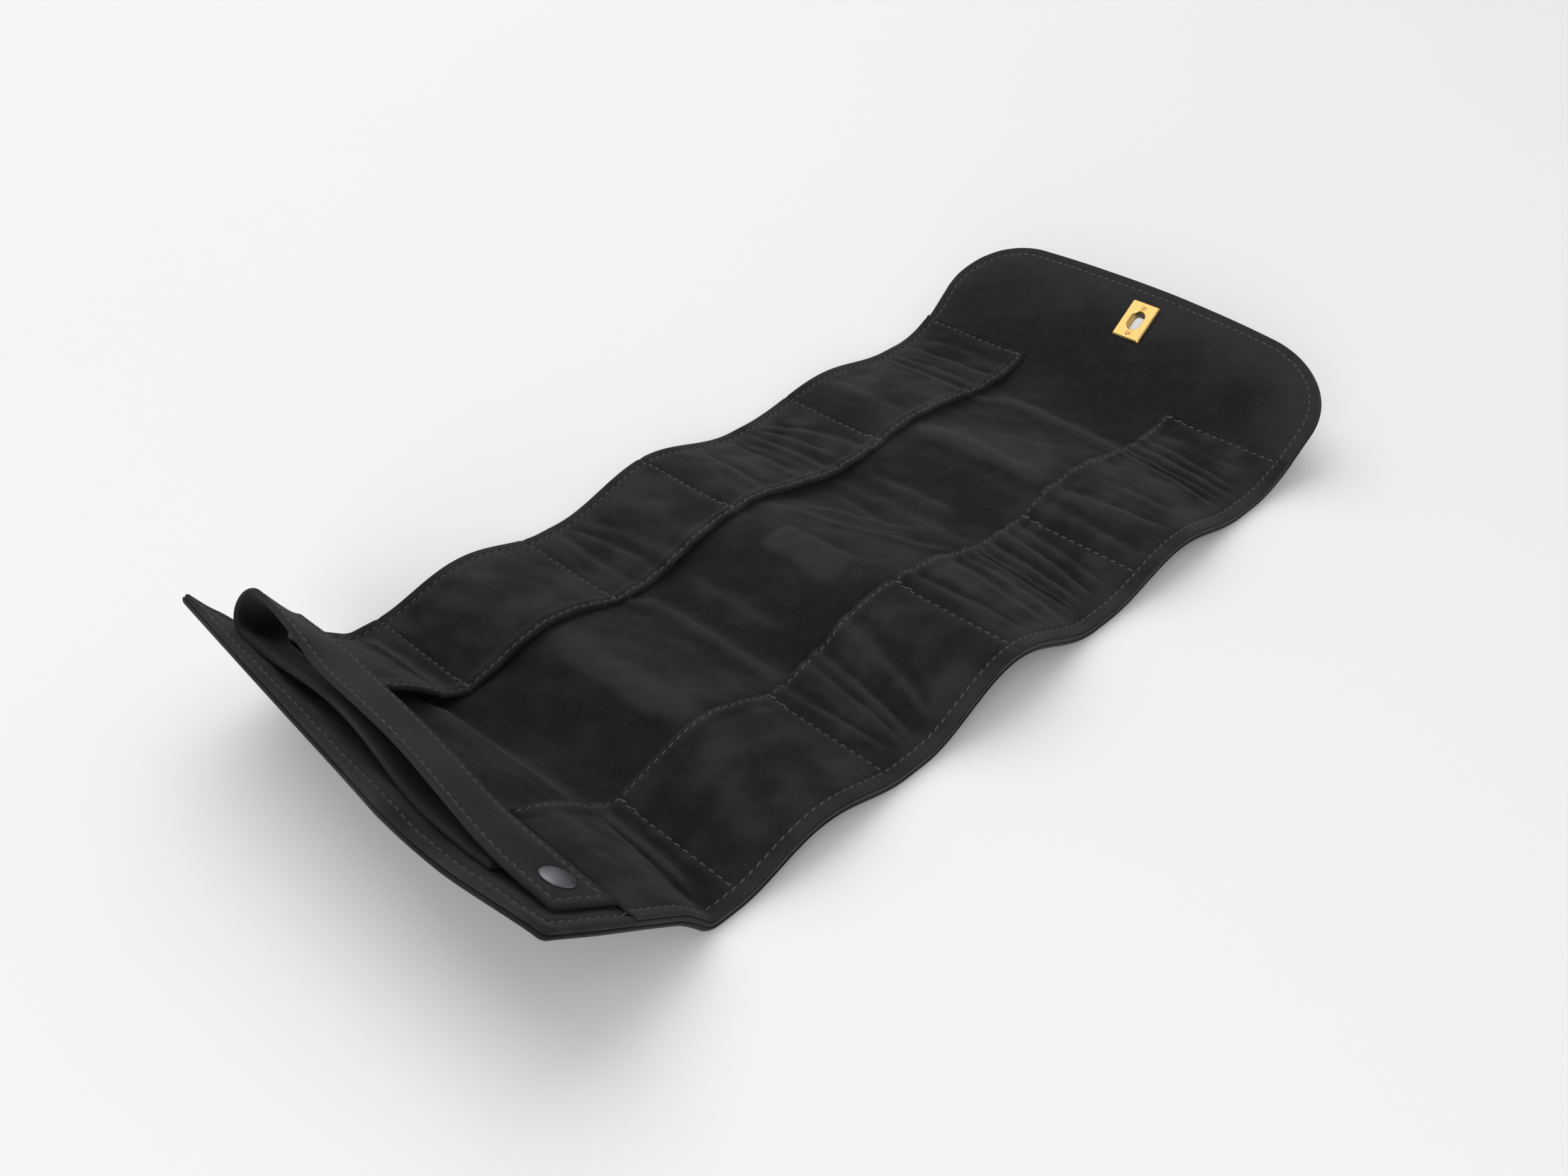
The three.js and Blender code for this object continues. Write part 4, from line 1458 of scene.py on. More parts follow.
    def build(self) -> list[Piece]:
        """Makes the strip's five lengths.

        Returns:
            The lengths, from the end to the flap.
        """
        rows = self.rows()
        d = rows[:, None]
        y = self.columns()[None, :]
        top = self.top(d, y)
        bottom = self.bottom(d, y)
        to_edge = np.minimum(np.abs(y) - self.lining.mouth, self.outer - np.abs(y))
        to_end = np.minimum(d - self.lining.strip_start, self.lining.strip_stop - d)
        rim = rounded_rim(np.minimum(to_edge, to_end), self.rounding * (top - bottom))
        lost = (top - bottom) * (1.0 - rim)
        upper = self.shape.place(d, y, top - self.rim_share * lost)
        lower = self.shape.place(d, y, bottom + (1.0 - self.rim_share) * lost)
        slab = Slab(self.shape, rows, upper, lower, self.nap(d, y), self.palette.lining)
        made = []
        for fold in Fold:
            piece = slab.length(f"pocket_strip_{self.name}_{fold.joint}", fold)
            panels = PANELS[fold.order : fold.order + 2]
            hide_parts(*(f"pocket_{self.name}_{panel}" for panel in panels))
            ends = rows[slab.span(fold)]
            made.append(piece)
        return made


@dataclass
class Stitches:
    """Runs of lockstitch: short thread loops that dip into the suede at both ends.

    Each row of the profile gives a ring's share of the length, its share of the radius and its rise.
    """

    pitch: float = 3.3
    length: float = 2.55
    radius: float = 0.30
    flatness: float = 0.8
    slant: float = 0.14
    sides: int = 6
    profile: tuple[Trio, ...] = (
        (0.00, 0.25, -0.34),
        (0.10, 0.80, -0.10),
        (0.32, 1.00, 0.10),
        (0.68, 1.00, 0.10),
        (0.90, 0.80, -0.10),
        (1.00, 0.25, -0.34),
    )

    def along(self, path: Array, normals: Array) -> tuple[Array, Array]:
        """Stitches along a path, one at each pitch.

        A stitch's rings stand on the chord between two places of the path, turned a little by the slant and
        lifted along the normal.

        Args:
            path: points in mm, close together.
            normals: the surface's unit normals there.

        Returns:
            Points of the stitches in mm (stitch, ring, side, coordinate), and each stitch's middle as a
            length along the path.
        """
        run = run_along(path)
        count = max(1, int(run[-1] / self.pitch))
        middles = (np.arange(count) + 0.5) * run[-1] / count

        def at(values: Array, where: Array) -> Array:
            """Values of a path at given lengths, as rows that rings and sides can be added to."""
            found = np.stack([np.interp(where, run, values[:, k]) for k in range(3)], axis=-1)
            return found[:, None, None, :]

        def unit(vectors: Array) -> Array:
            """Vectors brought to a length of 1."""
            return vectors / np.linalg.norm(vectors, axis=-1, keepdims=True)

        tails = at(path, middles - self.length / 2)
        reach = at(path, middles + self.length / 2) - tails
        normal = unit(at(normals, middles))
        across = np.cross(normal, unit(reach))
        shares, widths, rises = np.array(self.profile).T[:, None, :, None, None]
        turn = np.arange(self.sides) * math.tau / self.sides
        circle_across = (self.radius * np.cos(turn))[:, None]
        circle_up = (self.radius * self.flatness * np.sin(turn))[:, None]
        line = tails + shares * reach + across * (shares - 0.5) * 2 * self.slant + normal * rises
        return line + widths * (circle_across * across + circle_up * normal), middles

    def faces(self, count: int) -> Array:
        """Quads of a number of stitches: stacked rings with two quads closing each end.

        Args:
            count: number of stitches.

        Returns:
            Four corner numbers for each quad.
        """
        rings = len(self.profile)
        index = np.arange(rings * self.sides).reshape(rings, self.sides)
        caps = [loop[[[0, 1, 2, 3], [0, 3, 4, 5]]] for loop in (index[0, ::-1], index[-1])]
        one = np.concatenate([ring_quads(index), *caps])
        jumps = np.arange(count)[:, None, None] * rings * self.sides
        return (one[None] + jumps).reshape(-1, 4)

    def piece(self, name: str, groups: list[Array], material: Material) -> Piece:
        """Makes one piece of many stitches, with a map along the thread and round it.

        Args:
            name: the piece's name.
            groups: points of the stitches in mm.
            material: the thread's finish.

        Returns:
            The object.
        """
        points = np.concatenate(groups)
        count = len(points)
        piece = make_piece(name, points.reshape(-1, 3) * MM, self.faces(count), material)
        rings = len(self.profile)
        along = np.tile(np.repeat(np.arange(rings) / (rings - 1) * self.length, self.sides), count)
        round_it = np.tile(np.arange(self.sides) / self.sides, rings * count)
        mesh = piece.data
        loops = np.zeros(len(mesh.loops), np.int32)
        mesh.loops.foreach_get("vertex_index", loops)
        places = np.stack([along[loops], round_it[loops]], axis=-1).astype(np.float32)
        mesh.uv_layers.new(name="thread").data.foreach_set("uv", places.ravel())
        return piece


@dataclass
class Needlework:
    """The sheet's stitching: the edge on both faces, the hems, the cross seams and their back-tacks."""

    shape: RollShape
    lining: Lining
    strips: list[PocketStrip]
    palette: Palette
    stitches: Stitches = field(default_factory=Stitches)
    fine: float = 0.5
    hem_start: float = 1.0
    seam_start: float = 0.9
    tack_start: float = 0.8
    tack_stop: float = 9.0
    tack_beside: float = 0.55

    def surface(self, d: Array, y: Array) -> Array:
        """Height of the face that shows: the strip where there is one, and otherwise the lining.

        Args:
            d: distances.
            y: places across.

        Returns:
            Heights.
        """
        height = self.lining.top(d, y)
        for strip in self.strips:
            height = np.where(strip.covers(d, y), strip.top(d, y), height)
        return height

    def edge_line(self) -> tuple[Array, Array]:
        """The stitching line inside the whole outline, once round from the end's near corner.

        Returns:
            Distances and places across in mm.
        """
        shape = self.shape
        inset = self.lining.stitch_inset
        side = shape.half_width - inset
        end = inset - shape.end_length
        radius = shape.flap_corner - inset
        centre = shape.tip - shape.flap_corner
        turn = np.linspace(0.0, math.pi / 2, 90)
        corner_d = centre + radius * np.sin(turn)
        corner_y = side - radius * (1.0 - np.cos(turn))
        straight = np.linspace(end, centre, 760)[:-1]
        tip = np.linspace(-(side - radius), side - radius, 240)[1:-1]
        back = np.linspace(side, -side, 360)[1:]
        d = [straight, corner_d, np.full(tip.shape, centre + radius), corner_d[::-1], straight[::-1]]
        y = [np.full(straight.shape, -side), -corner_y, tip, corner_y[::-1], np.full(straight.shape, side)]
        return np.concatenate([*d, np.full(back.shape, end)]), np.concatenate([*y, back])

    def lines(self) -> list[tuple[Array, Array, bool]]:
        """Every stitching line.

        Returns:
            Distances, places across, and whether the line lies on the outer face.
        """
        d, y = self.edge_line()
        found = [(d, y, False), (d, y, True)]
        inner = self.lining.mouth + self.seam_start
        tack = np.arange(inner + self.tack_start, inner + self.tack_stop, self.fine)
        for strip in self.strips:
            hem = np.arange(self.lining.strip_start + self.hem_start, strip.seams[-1], self.fine)
            hem_y = strip.side * (self.lining.mouth + strip.hem_stitch)
            found.append((hem, np.full(hem.shape, hem_y), False))
            run = np.arange(inner, strip.outer - self.lining.stitch_inset, self.fine)
            for seam in strip.seams:
                found.append((np.full(run.shape, seam), strip.side * run, False))
                found.append((np.full(tack.shape, seam + self.tack_beside), strip.side * tack, False))
        return found

    def build(self) -> list[Piece]:
        """Makes the stitches of each length of the roll as one piece.

        Returns:
            The pieces, from the end to the flap.
        """
        shape = self.shape
        parts = {fold: [] for fold in Fold}
        for d, y, outside in self.lines():
            level = self.lining.outer_face(d, y) if outside else self.surface(d, y)
            path = shape.place(d, y, level) / MM
            above = shape.place(d, y, level + 1.0) / MM
            normals = (path - above) if outside else (above - path)
            points, middles = self.stitches.along(path, normals)
            place = np.interp(middles, run_along(path), d)
            for fold in Fold:
                start, stop = shape.splits[fold.order : fold.order + 2]
                parts[fold].append(points[(place >= start) & (place < stop)])
        made = []
        for fold, groups in parts.items():
            piece = self.stitches.piece(f"stitching_{fold.joint}", groups, self.palette.thread)
            bend_over(piece, shape, fold)
            made.append(piece)
        return made


@dataclass
class RingStrap:
    """The ring strap: sewn down at the far edge, looped back and closed by the snap near the other edge."""

    shape: RollShape
    palette: Palette
    width: float = 23.0
    thickness: float = 1.9
    root_level: float = 4.65
    band_level: float = 7.55
    root_inner: float = -58.0
    arch: float = 4.8
    arch_y: float = 18.0
    arch_half: float = 50.0
    loop_y: float = 71.2
    loop_skew: float = 0.2
    loop_radius: float = 5.9
    loop_twist: float = 0.085
    untwist: float = 40.0
    ease_length: float = 143.0
    tip_y: float = -82.0
    free_of_snap: Pair = (8.0, 40.0)
    free_of_loop: Pair = (2.0, 40.0)
    crown: float = 0.7
    crown_left: float = 0.25
    crown_run: float = 100.0
    lean: float = 1.2
    more_lean: Trio = (0.6, -14.0, 22.0)
    sways: tuple[Trio, ...] = ((0.9, -10.0, 22.0), (-0.8, 31.0, 16.0))
    root_rows: int = 110
    loop_rows: int = 40
    band_rows: int = 150
    column_step: float = 1.0
    stitch_inset: float = 2.5
    tip_inset: float = 3.2
    stitch_back: int = 14
    groove_depth: float = 0.25
    groove_width: float = 0.7
    flat_rim: float = 1.2
    patches: Ripple = Ripple(72, 30.0, 0.25)
    slant: float = 0.1
    bank: float = 0.22
    blend_low: float = 1.0
    blend_high: float = 9.6
    stitches: Stitches = field(default_factory=Stitches)

    def relief(self, y: Array, u: Array, run: Array) -> Array:
        """Height of the band's own form: a crown of 1 - (2u/width)², a lean to one side and a slight sway.

        Args:
            y: places across the roll.
            u: places across the strap.
            run: distance from the loop.

        Returns:
            Heights in mm, nothing at the loop or at the snap.
        """
        across = u / (self.width / 2)
        free = eased(y - self.shape.snap_y, *self.free_of_snap) * eased(run, *self.free_of_loop)
        left = self.crown_left + (1.0 - self.crown_left) * (1.0 - eased(run, 0.0, self.crown_run))
        dome = self.crown * left * (1.0 - np.square(across))
        more, middle, width = self.more_lean
        lean = across * (self.lean + more * bell(y - middle, width))
        sway = sum(height * bell(y - place, reach) for height, place, reach in self.sways)
        return (dome - lean + sway) * free

    def middle(self, u: Array) -> Array:
        """Points of the strap's middle surface.

        The root arches up from the end as a squared cosine, a half circle turns the strap back, and a
        squared cosine eases it down to the snap. The loop's place and radius change across the strap, so
        that the band leaves it twisted.

        Args:
            u: places across the strap in mm.

        Returns:
            Points in mm, with the coordinates on the last axis.
        """
        shape = self.shape
        u = u[None, :]
        d = u - shape.strap_line
        loop_y = self.loop_y + self.loop_skew * u
        radius = self.loop_radius - self.loop_twist * u
        base = self.root_level + shape.drape(d, loop_y)
        root_share = np.linspace(0.0, 1.0, self.root_rows + 1)[:-1, None]
        root_y = self.root_inner + (loop_y - self.root_inner) * root_share
        bow = np.cos(np.pi / 2 * np.clip(np.abs(root_y - self.arch_y) / self.arch_half, 0.0, 1.0))
        turn = np.linspace(-math.pi / 2, math.pi / 2, self.loop_rows)[:, None]
        band_y = loop_y + (self.tip_y - loop_y) * np.linspace(0.0, 1.0, self.band_rows)[1:, None]
        run = loop_y - band_y
        top = self.root_level + shape.drape(-shape.strap_line, self.loop_y) + 2 * self.loop_radius
        twist = (base + 2 * radius - top) * (1.0 - eased(run, 0.0, self.untwist))
        fall = np.square(np.cos(np.pi / 2 * np.clip(run / self.ease_length, 0.0, 1.0)))
        y = np.concatenate([root_y, loop_y + radius * np.cos(turn), band_y])
        n = np.concatenate([
            self.root_level + shape.drape(d, root_y) + self.arch * np.square(bow),
            base + radius * (1.0 + np.sin(turn)),
            self.band_level + (top - self.band_level) * fall + twist + self.relief(band_y, u, run),
        ])
        along, _, normal, point = shape.spot(-shape.strap_line, 0.0)
        place = point + along * u[..., None] + normal * n[..., None]
        place[..., 1] = y
        return place

    @staticmethod
    def normals(grid: Array) -> Array:
        """Unit normals of a grid towards the loop's outside, from its slopes along both directions."""
        found = np.cross(np.gradient(grid, axis=0), np.gradient(grid, axis=1))
        return found / np.linalg.norm(found, axis=-1, keepdims=True)

    def build(self) -> list[Piece]:
        """Makes the strap's root, its band and its stitching.

        Returns:
            The three pieces.
        """
        half = self.width / 2
        marks = [half - step for step in RIM_STEPS] + around([half - self.stitch_inset], GROOVE_STEPS)
        side = stations(0.0, half - CLOSEST, self.column_step, marks)
        u = np.concatenate([-side[:0:-1], side])
        grid = self.middle(u)
        normal = self.normals(grid)
        run = run_along(grid[:, len(side)])
        to_side = half - np.abs(u)[None, :]
        to_tip = (run[-1] - run)[:, None]
        inside = np.minimum(to_side, np.minimum(run[:, None], to_tip) + CLOSEST)
        lines = np.maximum(
            bell(to_side - self.stitch_inset, self.groove_width),
            bell(to_tip - self.tip_inset, self.groove_width),
        )
        pressed = np.where(inside > self.flat_rim, self.groove_depth * lines, 0.0)
        thick = self.thickness / 2
        round_off = thick * rounded_rim(inside, thick)
        upper = grid + normal * (round_off - pressed)[..., None]
        lower = grid - normal * round_off[..., None]
        # Brushed patches with a painted highlight along the edges; the under face gets painted light just
        # past the loop's turn, where the inside of the loop lies in shade.
        brushed_and_sheen = 0.4 + self.patches.at(run[:, None], u[None, :]) + 0.4 * bell(inside, 4.0)
        underside_with_painted_light = brushed_and_sheen + 0.5 * bell(run - run[self.root_rows] - 9.0, 14.0)[:, None]
        made = []
        for name, part, cut, nodes in (
            ("ring_strap_root", slice(0, self.root_rows + 1), -1, ["strap_root"]),
            ("ring_strap_band", slice(self.root_rows, None), 0, ["strap_back", "strap_face"]),
        ):
            points = np.concatenate([upper[part].reshape(-1, 3), lower[part].reshape(-1, 3)]) * MM
            nap = np.concatenate([brushed_and_sheen[part].ravel(), underside_with_painted_light[part].ravel()])
            rows = len(run[part])
            strap = make_piece(name, points, slab_quads(rows, len(u)), self.palette.shell, nap)
            ends = np.zeros((2, rows, len(u)), np.int32)
            ends[:, cut] = 1
            sharpen(strap, ends.ravel())
            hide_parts(*nodes)
            if cut:
                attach(strap, "end_section")
            else:
                self.hang(strap)
            made.append(strap)
        return [*made, self.sew(upper, normal, u, run)]

    def hang(self, piece: Piece) -> None:
        """Works out the strap's upward direction and bakes a piece's transform into its mesh.

        Args:
            piece: the mesh object.
        """
        along, across, normal, point = self.shape.spot(-self.shape.strap_line, 0.0)
        upward = normal - self.slant * across + self.bank * along
        upward = upward / np.linalg.norm(upward)
        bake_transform(piece)

    def sew(self, upper: Array, normal: Array, u: Array, run: Array) -> Piece:
        """Stitches along both edges of the band and across its tip.

        Args:
            upper: points of the strap's outer face in mm.
            normal: its unit normals.
            u: places across the strap.
            run: lengths along it.

        Returns:
            The stitches as one piece.
        """
        last = nearest(run, run[-1] - self.tip_inset)
        part = slice(int(np.argmax(upper[:, len(u) // 2, 1])) - self.stitch_back, last)
        inset = self.width / 2 - self.stitch_inset
        columns = [nearest(u, place) for place in (-inset, inset)]
        lines = [(part, column) for column in columns]
        lines.append((last, slice(columns[0], columns[1] + 1)))
        groups = [self.stitches.along(upper[line], normal[line])[0] for line in lines]
        piece = self.stitches.piece("strap_stitching", groups, self.palette.thread)
        self.hang(piece)
        return piece


def circle(count: int) -> Array:
    """Points round a circle of radius 1, two coordinates each."""
    turn = np.arange(count) * math.tau / count
    return np.stack([np.cos(turn), np.sin(turn)], axis=-1)


def outline(size: Trio, count: int = 192, halvings: int = 40) -> Array:
    """Outline of a rounded rectangle about its middle, one point for each angle.

    The radius at an angle is found by halving between the middle and a point outside.

    Args:
        size: length, width and corner radius, which is half the width for a stadium or a circle.
        count: number of points.
        halvings: how often the search halves.

    Returns:
        Points in a ring, two coordinates each.
    """
    length, width, radius = size
    ray = circle(count)
    low = np.zeros(count)
    high = np.full(count, length + width)
    core = np.array([length / 2 - radius, width / 2 - radius])
    for _ in range(halvings):
        middle = (low + high) / 2
        beyond = np.abs(ray * middle[:, None]) - core
        gap = np.hypot(*np.maximum(beyond, 0.0).T) + np.minimum(beyond.max(axis=1), 0.0) - radius
        low = np.where(gap < 0, middle, low)
        high = np.where(gap < 0, high, middle)
    return ray * low[:, None]


def inset(loop: Array, size: Trio, depth: float) -> Array:
    """An outline drawn in along its own normals, or let out where the depth is below 0.

    A point's normal runs to it from the nearest point of the core, the rectangle of the corners' centres.

    Args:
        loop: points of the outline.
        size: its length, width and corner radius.
        depth: how far each point moves.

    Returns:
        The moved points.
    """
    length, width, radius = size
    core = np.array([length / 2 - radius, width / 2 - radius])
    away = loop - np.clip(loop, -core, core)
    return loop - depth * away / np.linalg.norm(away, axis=1, keepdims=True)


@dataclass
class Hardware:
    """Rigid metal pieces, each a stack of rings in the frame of its place on the roll."""

    shape: RollShape
    palette: Palette
    split_angle: float = math.radians(38.0)

    def rings(self, spot: Array, loops: list[Array] | Array, heights: list[float] | Array) -> Array:
        """Rings of points from flat loops at given heights in a spot's frame.

        Args:
            spot: along, across, normal and point.
            loops: flat loops, two coordinates for each point.
            heights: a height for each loop, or for each of its points.

        Returns:
            Points in metres (ring, point, coordinate).
        """
        along, across, normal, point = spot
        stack = []
        for loop, height in zip(loops, heights):
            up = np.reshape(height, (-1, 1)) * normal
            stack.append(point + loop[:, :1] * along + loop[:, 1:] * across + up)
        return np.stack(stack) * MM

    def fit(self, name: str, node: str, body: str, points: Array, closed: bool, finish: Plating) -> Piece:
        """Makes a piece of stacked rings that stands for a node and rides on its body.

        Args:
            name: the piece's name.
            node: the node it stands for.
            body: the body it rides on.
            points: its rings in metres.
            closed: True joins the last ring to the first.
            finish: its plating.

        Returns:
            The object.
        """
        faces = ring_faces(points.shape[0], points.shape[1], closed)
        piece = make_piece(name, points, faces, self.palette.plated(finish))
        piece.modifiers.new("edge", "EDGE_SPLIT").split_angle = self.split_angle
        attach(piece, body)
        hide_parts(node)
        return piece


@dataclass
class TurnLock(Hardware):
    """The gilt plates and screws on the flap, and the turn button on the outer face.

    Each row of the screw's profile gives a ring's share of the radius and its rise.
    """

    plate_length: float = 18.0
    plate_width: float = 13.0
    corner: float = 0.8
    slot_length: float = 8.8
    slot_width: float = 5.8
    guide_length: float = 7.4
    guide_width: float = 4.6
    plate_low: float = 2.95
    plate_top: float = 4.1
    back_low: float = -0.8
    back_top: float = -0.05
    bevel: float = 0.5
    slot_bevel: float = 0.3
    slot_wall: float = 0.3
    wall_front: float = 0.2
    wall_behind: float = 0.02
    screw_place: float = 6.4
    screw_radius: float = 1.1
    screw_sunk: float = 0.05
    screw_turn: float = math.radians(35.0)
    screw_cut: float = 0.45
    screw_slot: Pair = (0.18, 0.28)
    screw_sides: int = 48
    screw_profile: tuple[Pair, ...] = (
        (1.00, -0.50), (1.00, 0.16), (0.97, 0.26), (0.86, 0.31),
        (0.66, 0.35), (0.44, 0.37), (0.22, 0.38), (0.04, 0.38),
    )
    button_from_ridge: float = 11.0
    base_low: float = 0.5
    base_top: float = 2.05
    guide_top: float = 3.95
    bar_low: float = 4.5
    bar_top: float = 7.1
    stem: float = 3.0
    bevels: Trio = (0.4, 0.3, 0.8)

    def slotted(self, low: float, high: float, wall: float) -> tuple[list[Array], list[float]]:
        """Loops of a bevelled plate with the slot through it.

        Args:
            low: height of the plate's lower face.
            high: height of its upper face.
            wall: depth to which the slot's wall is drawn down.

        Returns:
            The loops and their heights.
        """
        size = (self.plate_length, self.plate_width, self.corner)
        slot_size = (self.slot_length, self.slot_width, self.slot_width / 2)
        rim = outline(size)
        slot = outline(slot_size)
        face = inset(rim, size, self.bevel)
        mouth = inset(slot, slot_size, -self.slot_bevel)
        back = inset(slot, slot_size, -self.slot_wall)
        loops = [rim, rim, face, mouth, slot, slot, back, back]
        heights = [low, high - self.bevel, high, high, high - self.slot_bevel, wall, wall, low]
        return loops, heights

    def screw(self, name: str, place: float) -> Piece:
        """A low domed screw head with a slot: the dome is cut where a point lies near the slot's line.

        Args:
            name: the node's name.
            place: distance from the plate's middle.

        Returns:
            The screw head.
        """
        shares, rises = np.array(self.screw_profile).T[:, :, None]
        loops = self.screw_radius * shares[..., None] * circle(self.screw_sides)
        away = np.abs(loops[..., 0] * math.sin(self.screw_turn) - loops[..., 1] * math.cos(self.screw_turn))
        cut = self.screw_cut * (1.0 - eased(away, *self.screw_slot)) * (shares < 0.98)
        heights = self.plate_top - self.screw_sunk + rises - cut
        spot = self.shape.spot(self.shape.plate, 0.0)
        points = self.rings(spot, loops + (place, 0.0), heights)
        return self.fit(f"{name}_head", name, "flap", points, False, Plating.GILT)

    def build(self) -> list[Piece]:
        """Makes the plates, the screws and the button.

        Returns:
            The pieces.
        """
        made = []
        front = (self.plate_low, self.plate_top, self.wall_front)
        behind = (-self.back_top, -self.back_low, self.wall_behind)
        for name, node, outward, levels in (
            ("lock_plate_front", "lock_plate", False, front),
            ("lock_plate_behind", "lock_back_plate", True, behind),
        ):
            spot = self.shape.spot(self.shape.plate, 0.0, outward)
            points = self.rings(spot, *self.slotted(*levels))
            made.append(self.fit(name, node, "flap", points, True, Plating.GILT))
        made.append(self.screw("plate_screw_inner", -self.screw_place))
        made.append(self.screw("plate_screw_tip", self.screw_place))
        return made + self.button()

    def moulded(self, size: Trio, low: float, high: float, bevel: float) -> tuple[list[Array], list[float]]:
        """Loops of a solid plate with a bevelled upper edge, closed at the middle.

        Args:
            size: length, width and corner radius.
            low: height of its lower face.
            high: height of its upper face.
            bevel: width of the bevel.

        Returns:
            The loops and their heights.
        """
        length, width, radius = size
        middle = outline((length * 0.1, width * 0.1, radius * 0.1))
        rim = outline(size)
        loops = [
            middle,
            outline((length - 0.4, width - 0.4, radius)),
            rim,
            rim,
            outline((length - 0.6 * bevel, width - 0.6 * bevel, radius - 0.2 * bevel)),
            outline((length - 2 * bevel, width - 2 * bevel, radius - 0.6 * bevel)),
            middle,
        ]
        return loops, [low, low, low + 0.2, high - bevel, high - 0.3 * bevel, high, high]

    def button(self) -> list[Piece]:
        """Makes the base plate, the guide that fills the slot, and the bar that turns on its stem.

        Returns:
            The three pieces.
        """
        spot = self.shape.spot(self.shape.ridge - self.button_from_ridge, 0.0, True)
        base = (self.plate_width, self.plate_length, self.corner)
        guide = (self.guide_length, self.guide_width, self.guide_width / 2)
        levels = (self.base_low, self.base_top, self.guide_top, self.bar_top)
        made = []
        for name, node, body, size, low, high, bevel in zip(
            ("button_base_plate", "button_slot_guide", "button_bar"),
            ("button_base", "slot_guide", "turn_button"),
            ("middle_rise", "middle_rise", "button"),
            (base, guide, guide),
            levels[:-1],
            levels[1:],
            self.bevels,
        ):
            loops, heights = self.moulded(size, low, high, bevel)
            if name == "button_bar":
                stem = outline((self.stem, self.stem, self.stem / 2))
                loops = [outline((0.3, 0.3, 0.15)), stem, stem, *loops[1:]]
                bar = self.bar_low
                heights = [low, low, bar, bar + 0.01, bar + 0.25, *heights[3:]]
            points = self.rings(spot, loops, heights)
            made.append(self.fit(name, node, body, points, False, Plating.GILT))
        return made


@dataclass
class Snap(Hardware):
    """The snap: a domed cap and a socket on the strap, and a stud on the end.

    The socket and the stud are profiles of radii and heights, bottom to top.
    """

    cap_low: float = 8.4
    cap_radius: float = 5.2
    cap_height: float = 1.9
    cap_edge: float = 0.35
    cap_step: float = 0.5
    sides: int = 64
    socket: tuple[Pair, ...] = (
        (0.1, 6.25), (2.05, 6.2), (2.05, 5.3), (2.2, 4.95),
        (3.2, 4.9), (4.1, 5.1), (4.5, 5.6), (4.5, 6.3),
        (4.4, 6.6), (0.1, 6.6),
    )
    stud: tuple[Pair, ...] = (
        (0.1, 3.4), (4.5, 3.4), (4.5, 4.3), (4.2, 4.55),
        (2.4, 4.6), (1.5, 4.8), (1.45, 5.3), (1.7, 5.6),
        (1.6, 5.85), (1.1, 6.0), (0.1, 6.05),
    )

    def cap(self) -> list[Pair]:
        """Profile of the cap: an arc for the rolled rim, and a dome of (1 - share²) to the power 0.75.

        Returns:
            Radii and heights, bottom to top.
        """
        low, radius, edge = self.cap_low, self.cap_radius, self.cap_edge
        turns = np.linspace(-1.5, 0.6, 8)
        rim = [(radius + edge * (math.cos(t) - 1.0), low + edge * (1.0 + math.sin(t))) for t in turns]
        rise = self.cap_height - self.cap_step
        shares = np.linspace(0.97, 0.02, 16)
        dome = [(radius * share, low + self.cap_step + rise * (1.0 - share**2) ** 0.75) for share in shares]
        return [(0.1, low), *rim, *dome]

    def turned(self, name: str, node: str, body: str, profile: tuple[Pair, ...] | list[Pair]) -> Piece:
        """Makes a turned piece.

        Args:
            name: the piece's name.
            node: the node it stands for.
            body: the body it rides on.
            profile: radii and heights, bottom to top.

        Returns:
            The object.
        """
        spot = self.shape.spot(-self.shape.strap_line, self.shape.snap_y)
        loops = [radius * circle(self.sides) for radius, _ in profile]
        points = self.rings(spot, loops, [height for _, height in profile])
        return self.fit(name, node, body, points, False, Plating.GUNMETAL)

    def build(self) -> list[Piece]:
        """Makes the cap, the socket and the stud.

        Returns:
            The three pieces.
        """
        return [
            self.turned("snap_cap_dome", "snap_cap", "ring_strap", self.cap()),
            self.turned("snap_socket_ring", "snap_socket", "ring_strap", self.socket),
            self.turned("snap_stud_post", "snap_stud", "end_section", self.stud),
        ]


def placed(name: str, data: bpy.types.ID, axes: Array, at: Array) -> Piece:
    """Links a camera or a lamp to the scene, with its axes and its place in metres.

    Args:
        name: the object's name.
        data: the camera or the light.
        axes: its axes as columns.
        at: its place in metres.

    Returns:
        The object.
    """
    item = bpy.data.objects.new(name, data)
    matrix = np.eye(4)
    matrix[:3, :3] = axes
    matrix[:3, 3] = at
    item.matrix_world = Matrix(matrix.tolist())
    bpy.context.scene.collection.objects.link(item)
    return item


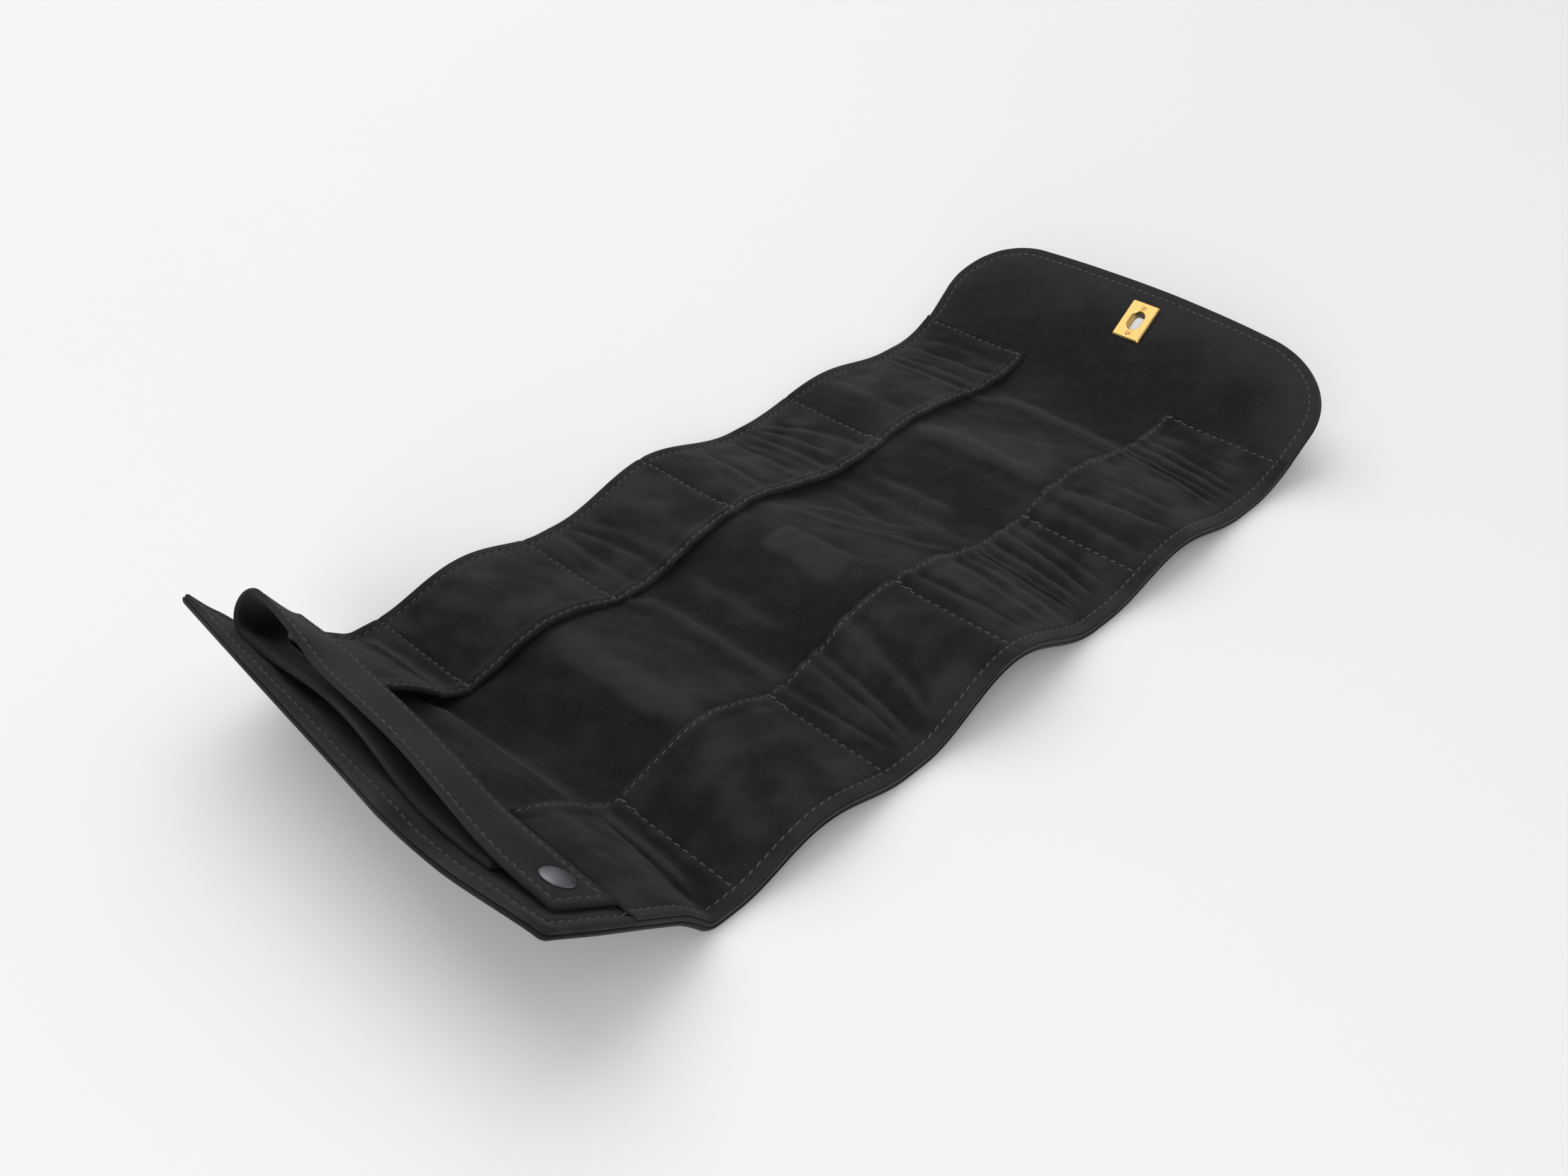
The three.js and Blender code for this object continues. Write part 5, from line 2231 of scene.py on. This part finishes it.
@dataclass
class Studio:
    """Plain pale floor that runs up into a backdrop, soft light, and the camera at the photographed angle.

    Each lamp has a name, a place in metres, a size and a power.
    """

    lens: float = 34.0
    sensor: float = 36.0
    camera_at: Trio = (-317.7, -291.3, 318.6)
    pitch: float = math.radians(37.3)
    roll: float = math.radians(0.89)
    ground_x: Pair = (0.7074273, 0.7067861)
    floor_colour: Trio = (0.81, 0.805, 0.79)
    floor_drift: float = 0.985
    floor_start: float = -6.0
    floor_bend: float = 4.0
    bend_radius: float = 1.5
    backdrop: float = 6.0
    floor_half: float = 9.0
    floor_sunk: float = 0.0003
    world_colour: tuple[float, ...] = (0.95, 0.96, 1.0, 1.0)
    world_strength: float = 0.58
    lamps: tuple[tuple[str, Trio, float, float], ...] = (
        ("key", (0.7, 1.5, 2.3), 3.0, 49.0),
        ("fill", (-1.9, -1.1, 0.75), 1.4, 36.0),
    )

    def camera(self) -> None:
        """Sets the camera from its place, pitch and roll and from the roll's heading on the ground."""
        p, r = self.pitch, self.roll
        right = np.array([math.cos(r), -math.sin(r) * math.sin(p), -math.sin(r) * math.cos(p)])
        down = np.array([-math.sin(r), -math.cos(r) * math.sin(p), -math.cos(r) * math.cos(p)])
        forward = np.array([0.0, math.cos(p), -math.sin(p)])
        gx, gy = self.ground_x
        turn = np.array([[gx, gy, 0.0], [-gy, gx, 0.0], [0.0, 0.0, 1.0]])
        axes = np.stack([turn @ right, -(turn @ down), -(turn @ forward)], axis=-1)
        data = bpy.data.cameras.new("camera")
        data.lens = self.lens
        data.sensor_width = self.sensor
        data.clip_start = 0.01
        bpy.context.scene.camera = placed("camera", data, axes, np.array(self.camera_at) * MM)

    def floor(self) -> None:
        """A floor swept up into a backdrop: flat, a quarter circle, then upright, facing the camera."""
        graph = Graph("floor")
        drift = graph.noise(graph.coordinates("Object"), 3.0, 2.0, 0.5)
        darker = opaque(self.floor_colour, self.floor_drift)
        colour = graph.mixed(drift, darker, opaque(self.floor_colour))
        material = graph.finish({"Base Color": colour, "Roughness": 0.75})
        bend = np.linspace(0.0, math.pi / 2, 24)
        radius = self.bend_radius
        arc = self.floor_bend + radius * np.sin(bend)
        run = np.concatenate([[self.floor_start], arc, [self.floor_bend + radius]])
        height = np.concatenate([[0.0], radius * (1.0 - np.cos(bend)), [self.backdrop]]) - self.floor_sunk
        across = np.array([-self.floor_half, self.floor_half])
        gx, gy = self.ground_x
        x = gy * run[:, None] + gx * across[None, :]
        y = gx * run[:, None] - gy * across[None, :]
        points = np.stack(np.broadcast_arrays(x, y, height[:, None]), axis=-1)
        faces = grid_quads(len(run), 2).reshape(-1, 4)[:, ::-1]
        make_piece("floor", points.reshape(-1, 3), faces, material)

    def light(self) -> None:
        """A pale world and two large soft lamps, square ones that face the origin."""
        world = bpy.data.worlds.new("studio")
        world.use_nodes = True
        shade = world.node_tree.nodes["Background"]
        shade.inputs["Color"].default_value = self.world_colour
        shade.inputs["Strength"].default_value = self.world_strength
        bpy.context.scene.world = world
        for name, at, size, power in self.lamps:
            data = bpy.data.lights.new(name, "AREA")
            data.energy = power
            data.size = size
            back = np.array(at) / np.linalg.norm(at)
            side = np.cross((0.0, 0.0, 1.0), back)
            side = side / np.linalg.norm(side)
            placed(name, data, np.stack([side, np.cross(back, side), back], axis=-1), np.array(at))

    def build(self) -> None:
        """Makes the stage."""
        self.camera()
        self.floor()
        self.light()
        bpy.context.scene.view_settings.view_transform = "Standard"


def finish_hidden(palette: Palette) -> None:
    """Gives the nodes that stay, all inside the layers, their finish.

    Args:
        palette: the finishes.
    """
    for node in ("snap_eyelet", "button_washer"):
        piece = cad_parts[node]
        piece.data.materials.clear()
        piece.data.materials.append(palette.gunmetal)


def main() -> None:
    """Builds the studio, the layers, the strips, the stitching and the hardware, and reports each piece."""
    logging.basicConfig(level=logging.INFO, format="%(name)s %(message)s")
    Studio().build()
    palette = Palette()
    shape = RollShape()
    lining = Lining(shape)
    strips = [PocketStrip(shape, lining, palette, side) for side in Side]
    makers = (
        Layers(shape, lining, palette),
        *strips,
        Needlework(shape, lining, strips, palette),
        RingStrap(shape, palette),
        TurnLock(shape, palette),
        Snap(shape, palette),
    )
    for maker in makers:
        for piece in maker.build():
            log.info("%s: %d faces", piece.name, len(piece.data.polygons))
    finish_hidden(palette)


if __name__ == "__main__":
    main()
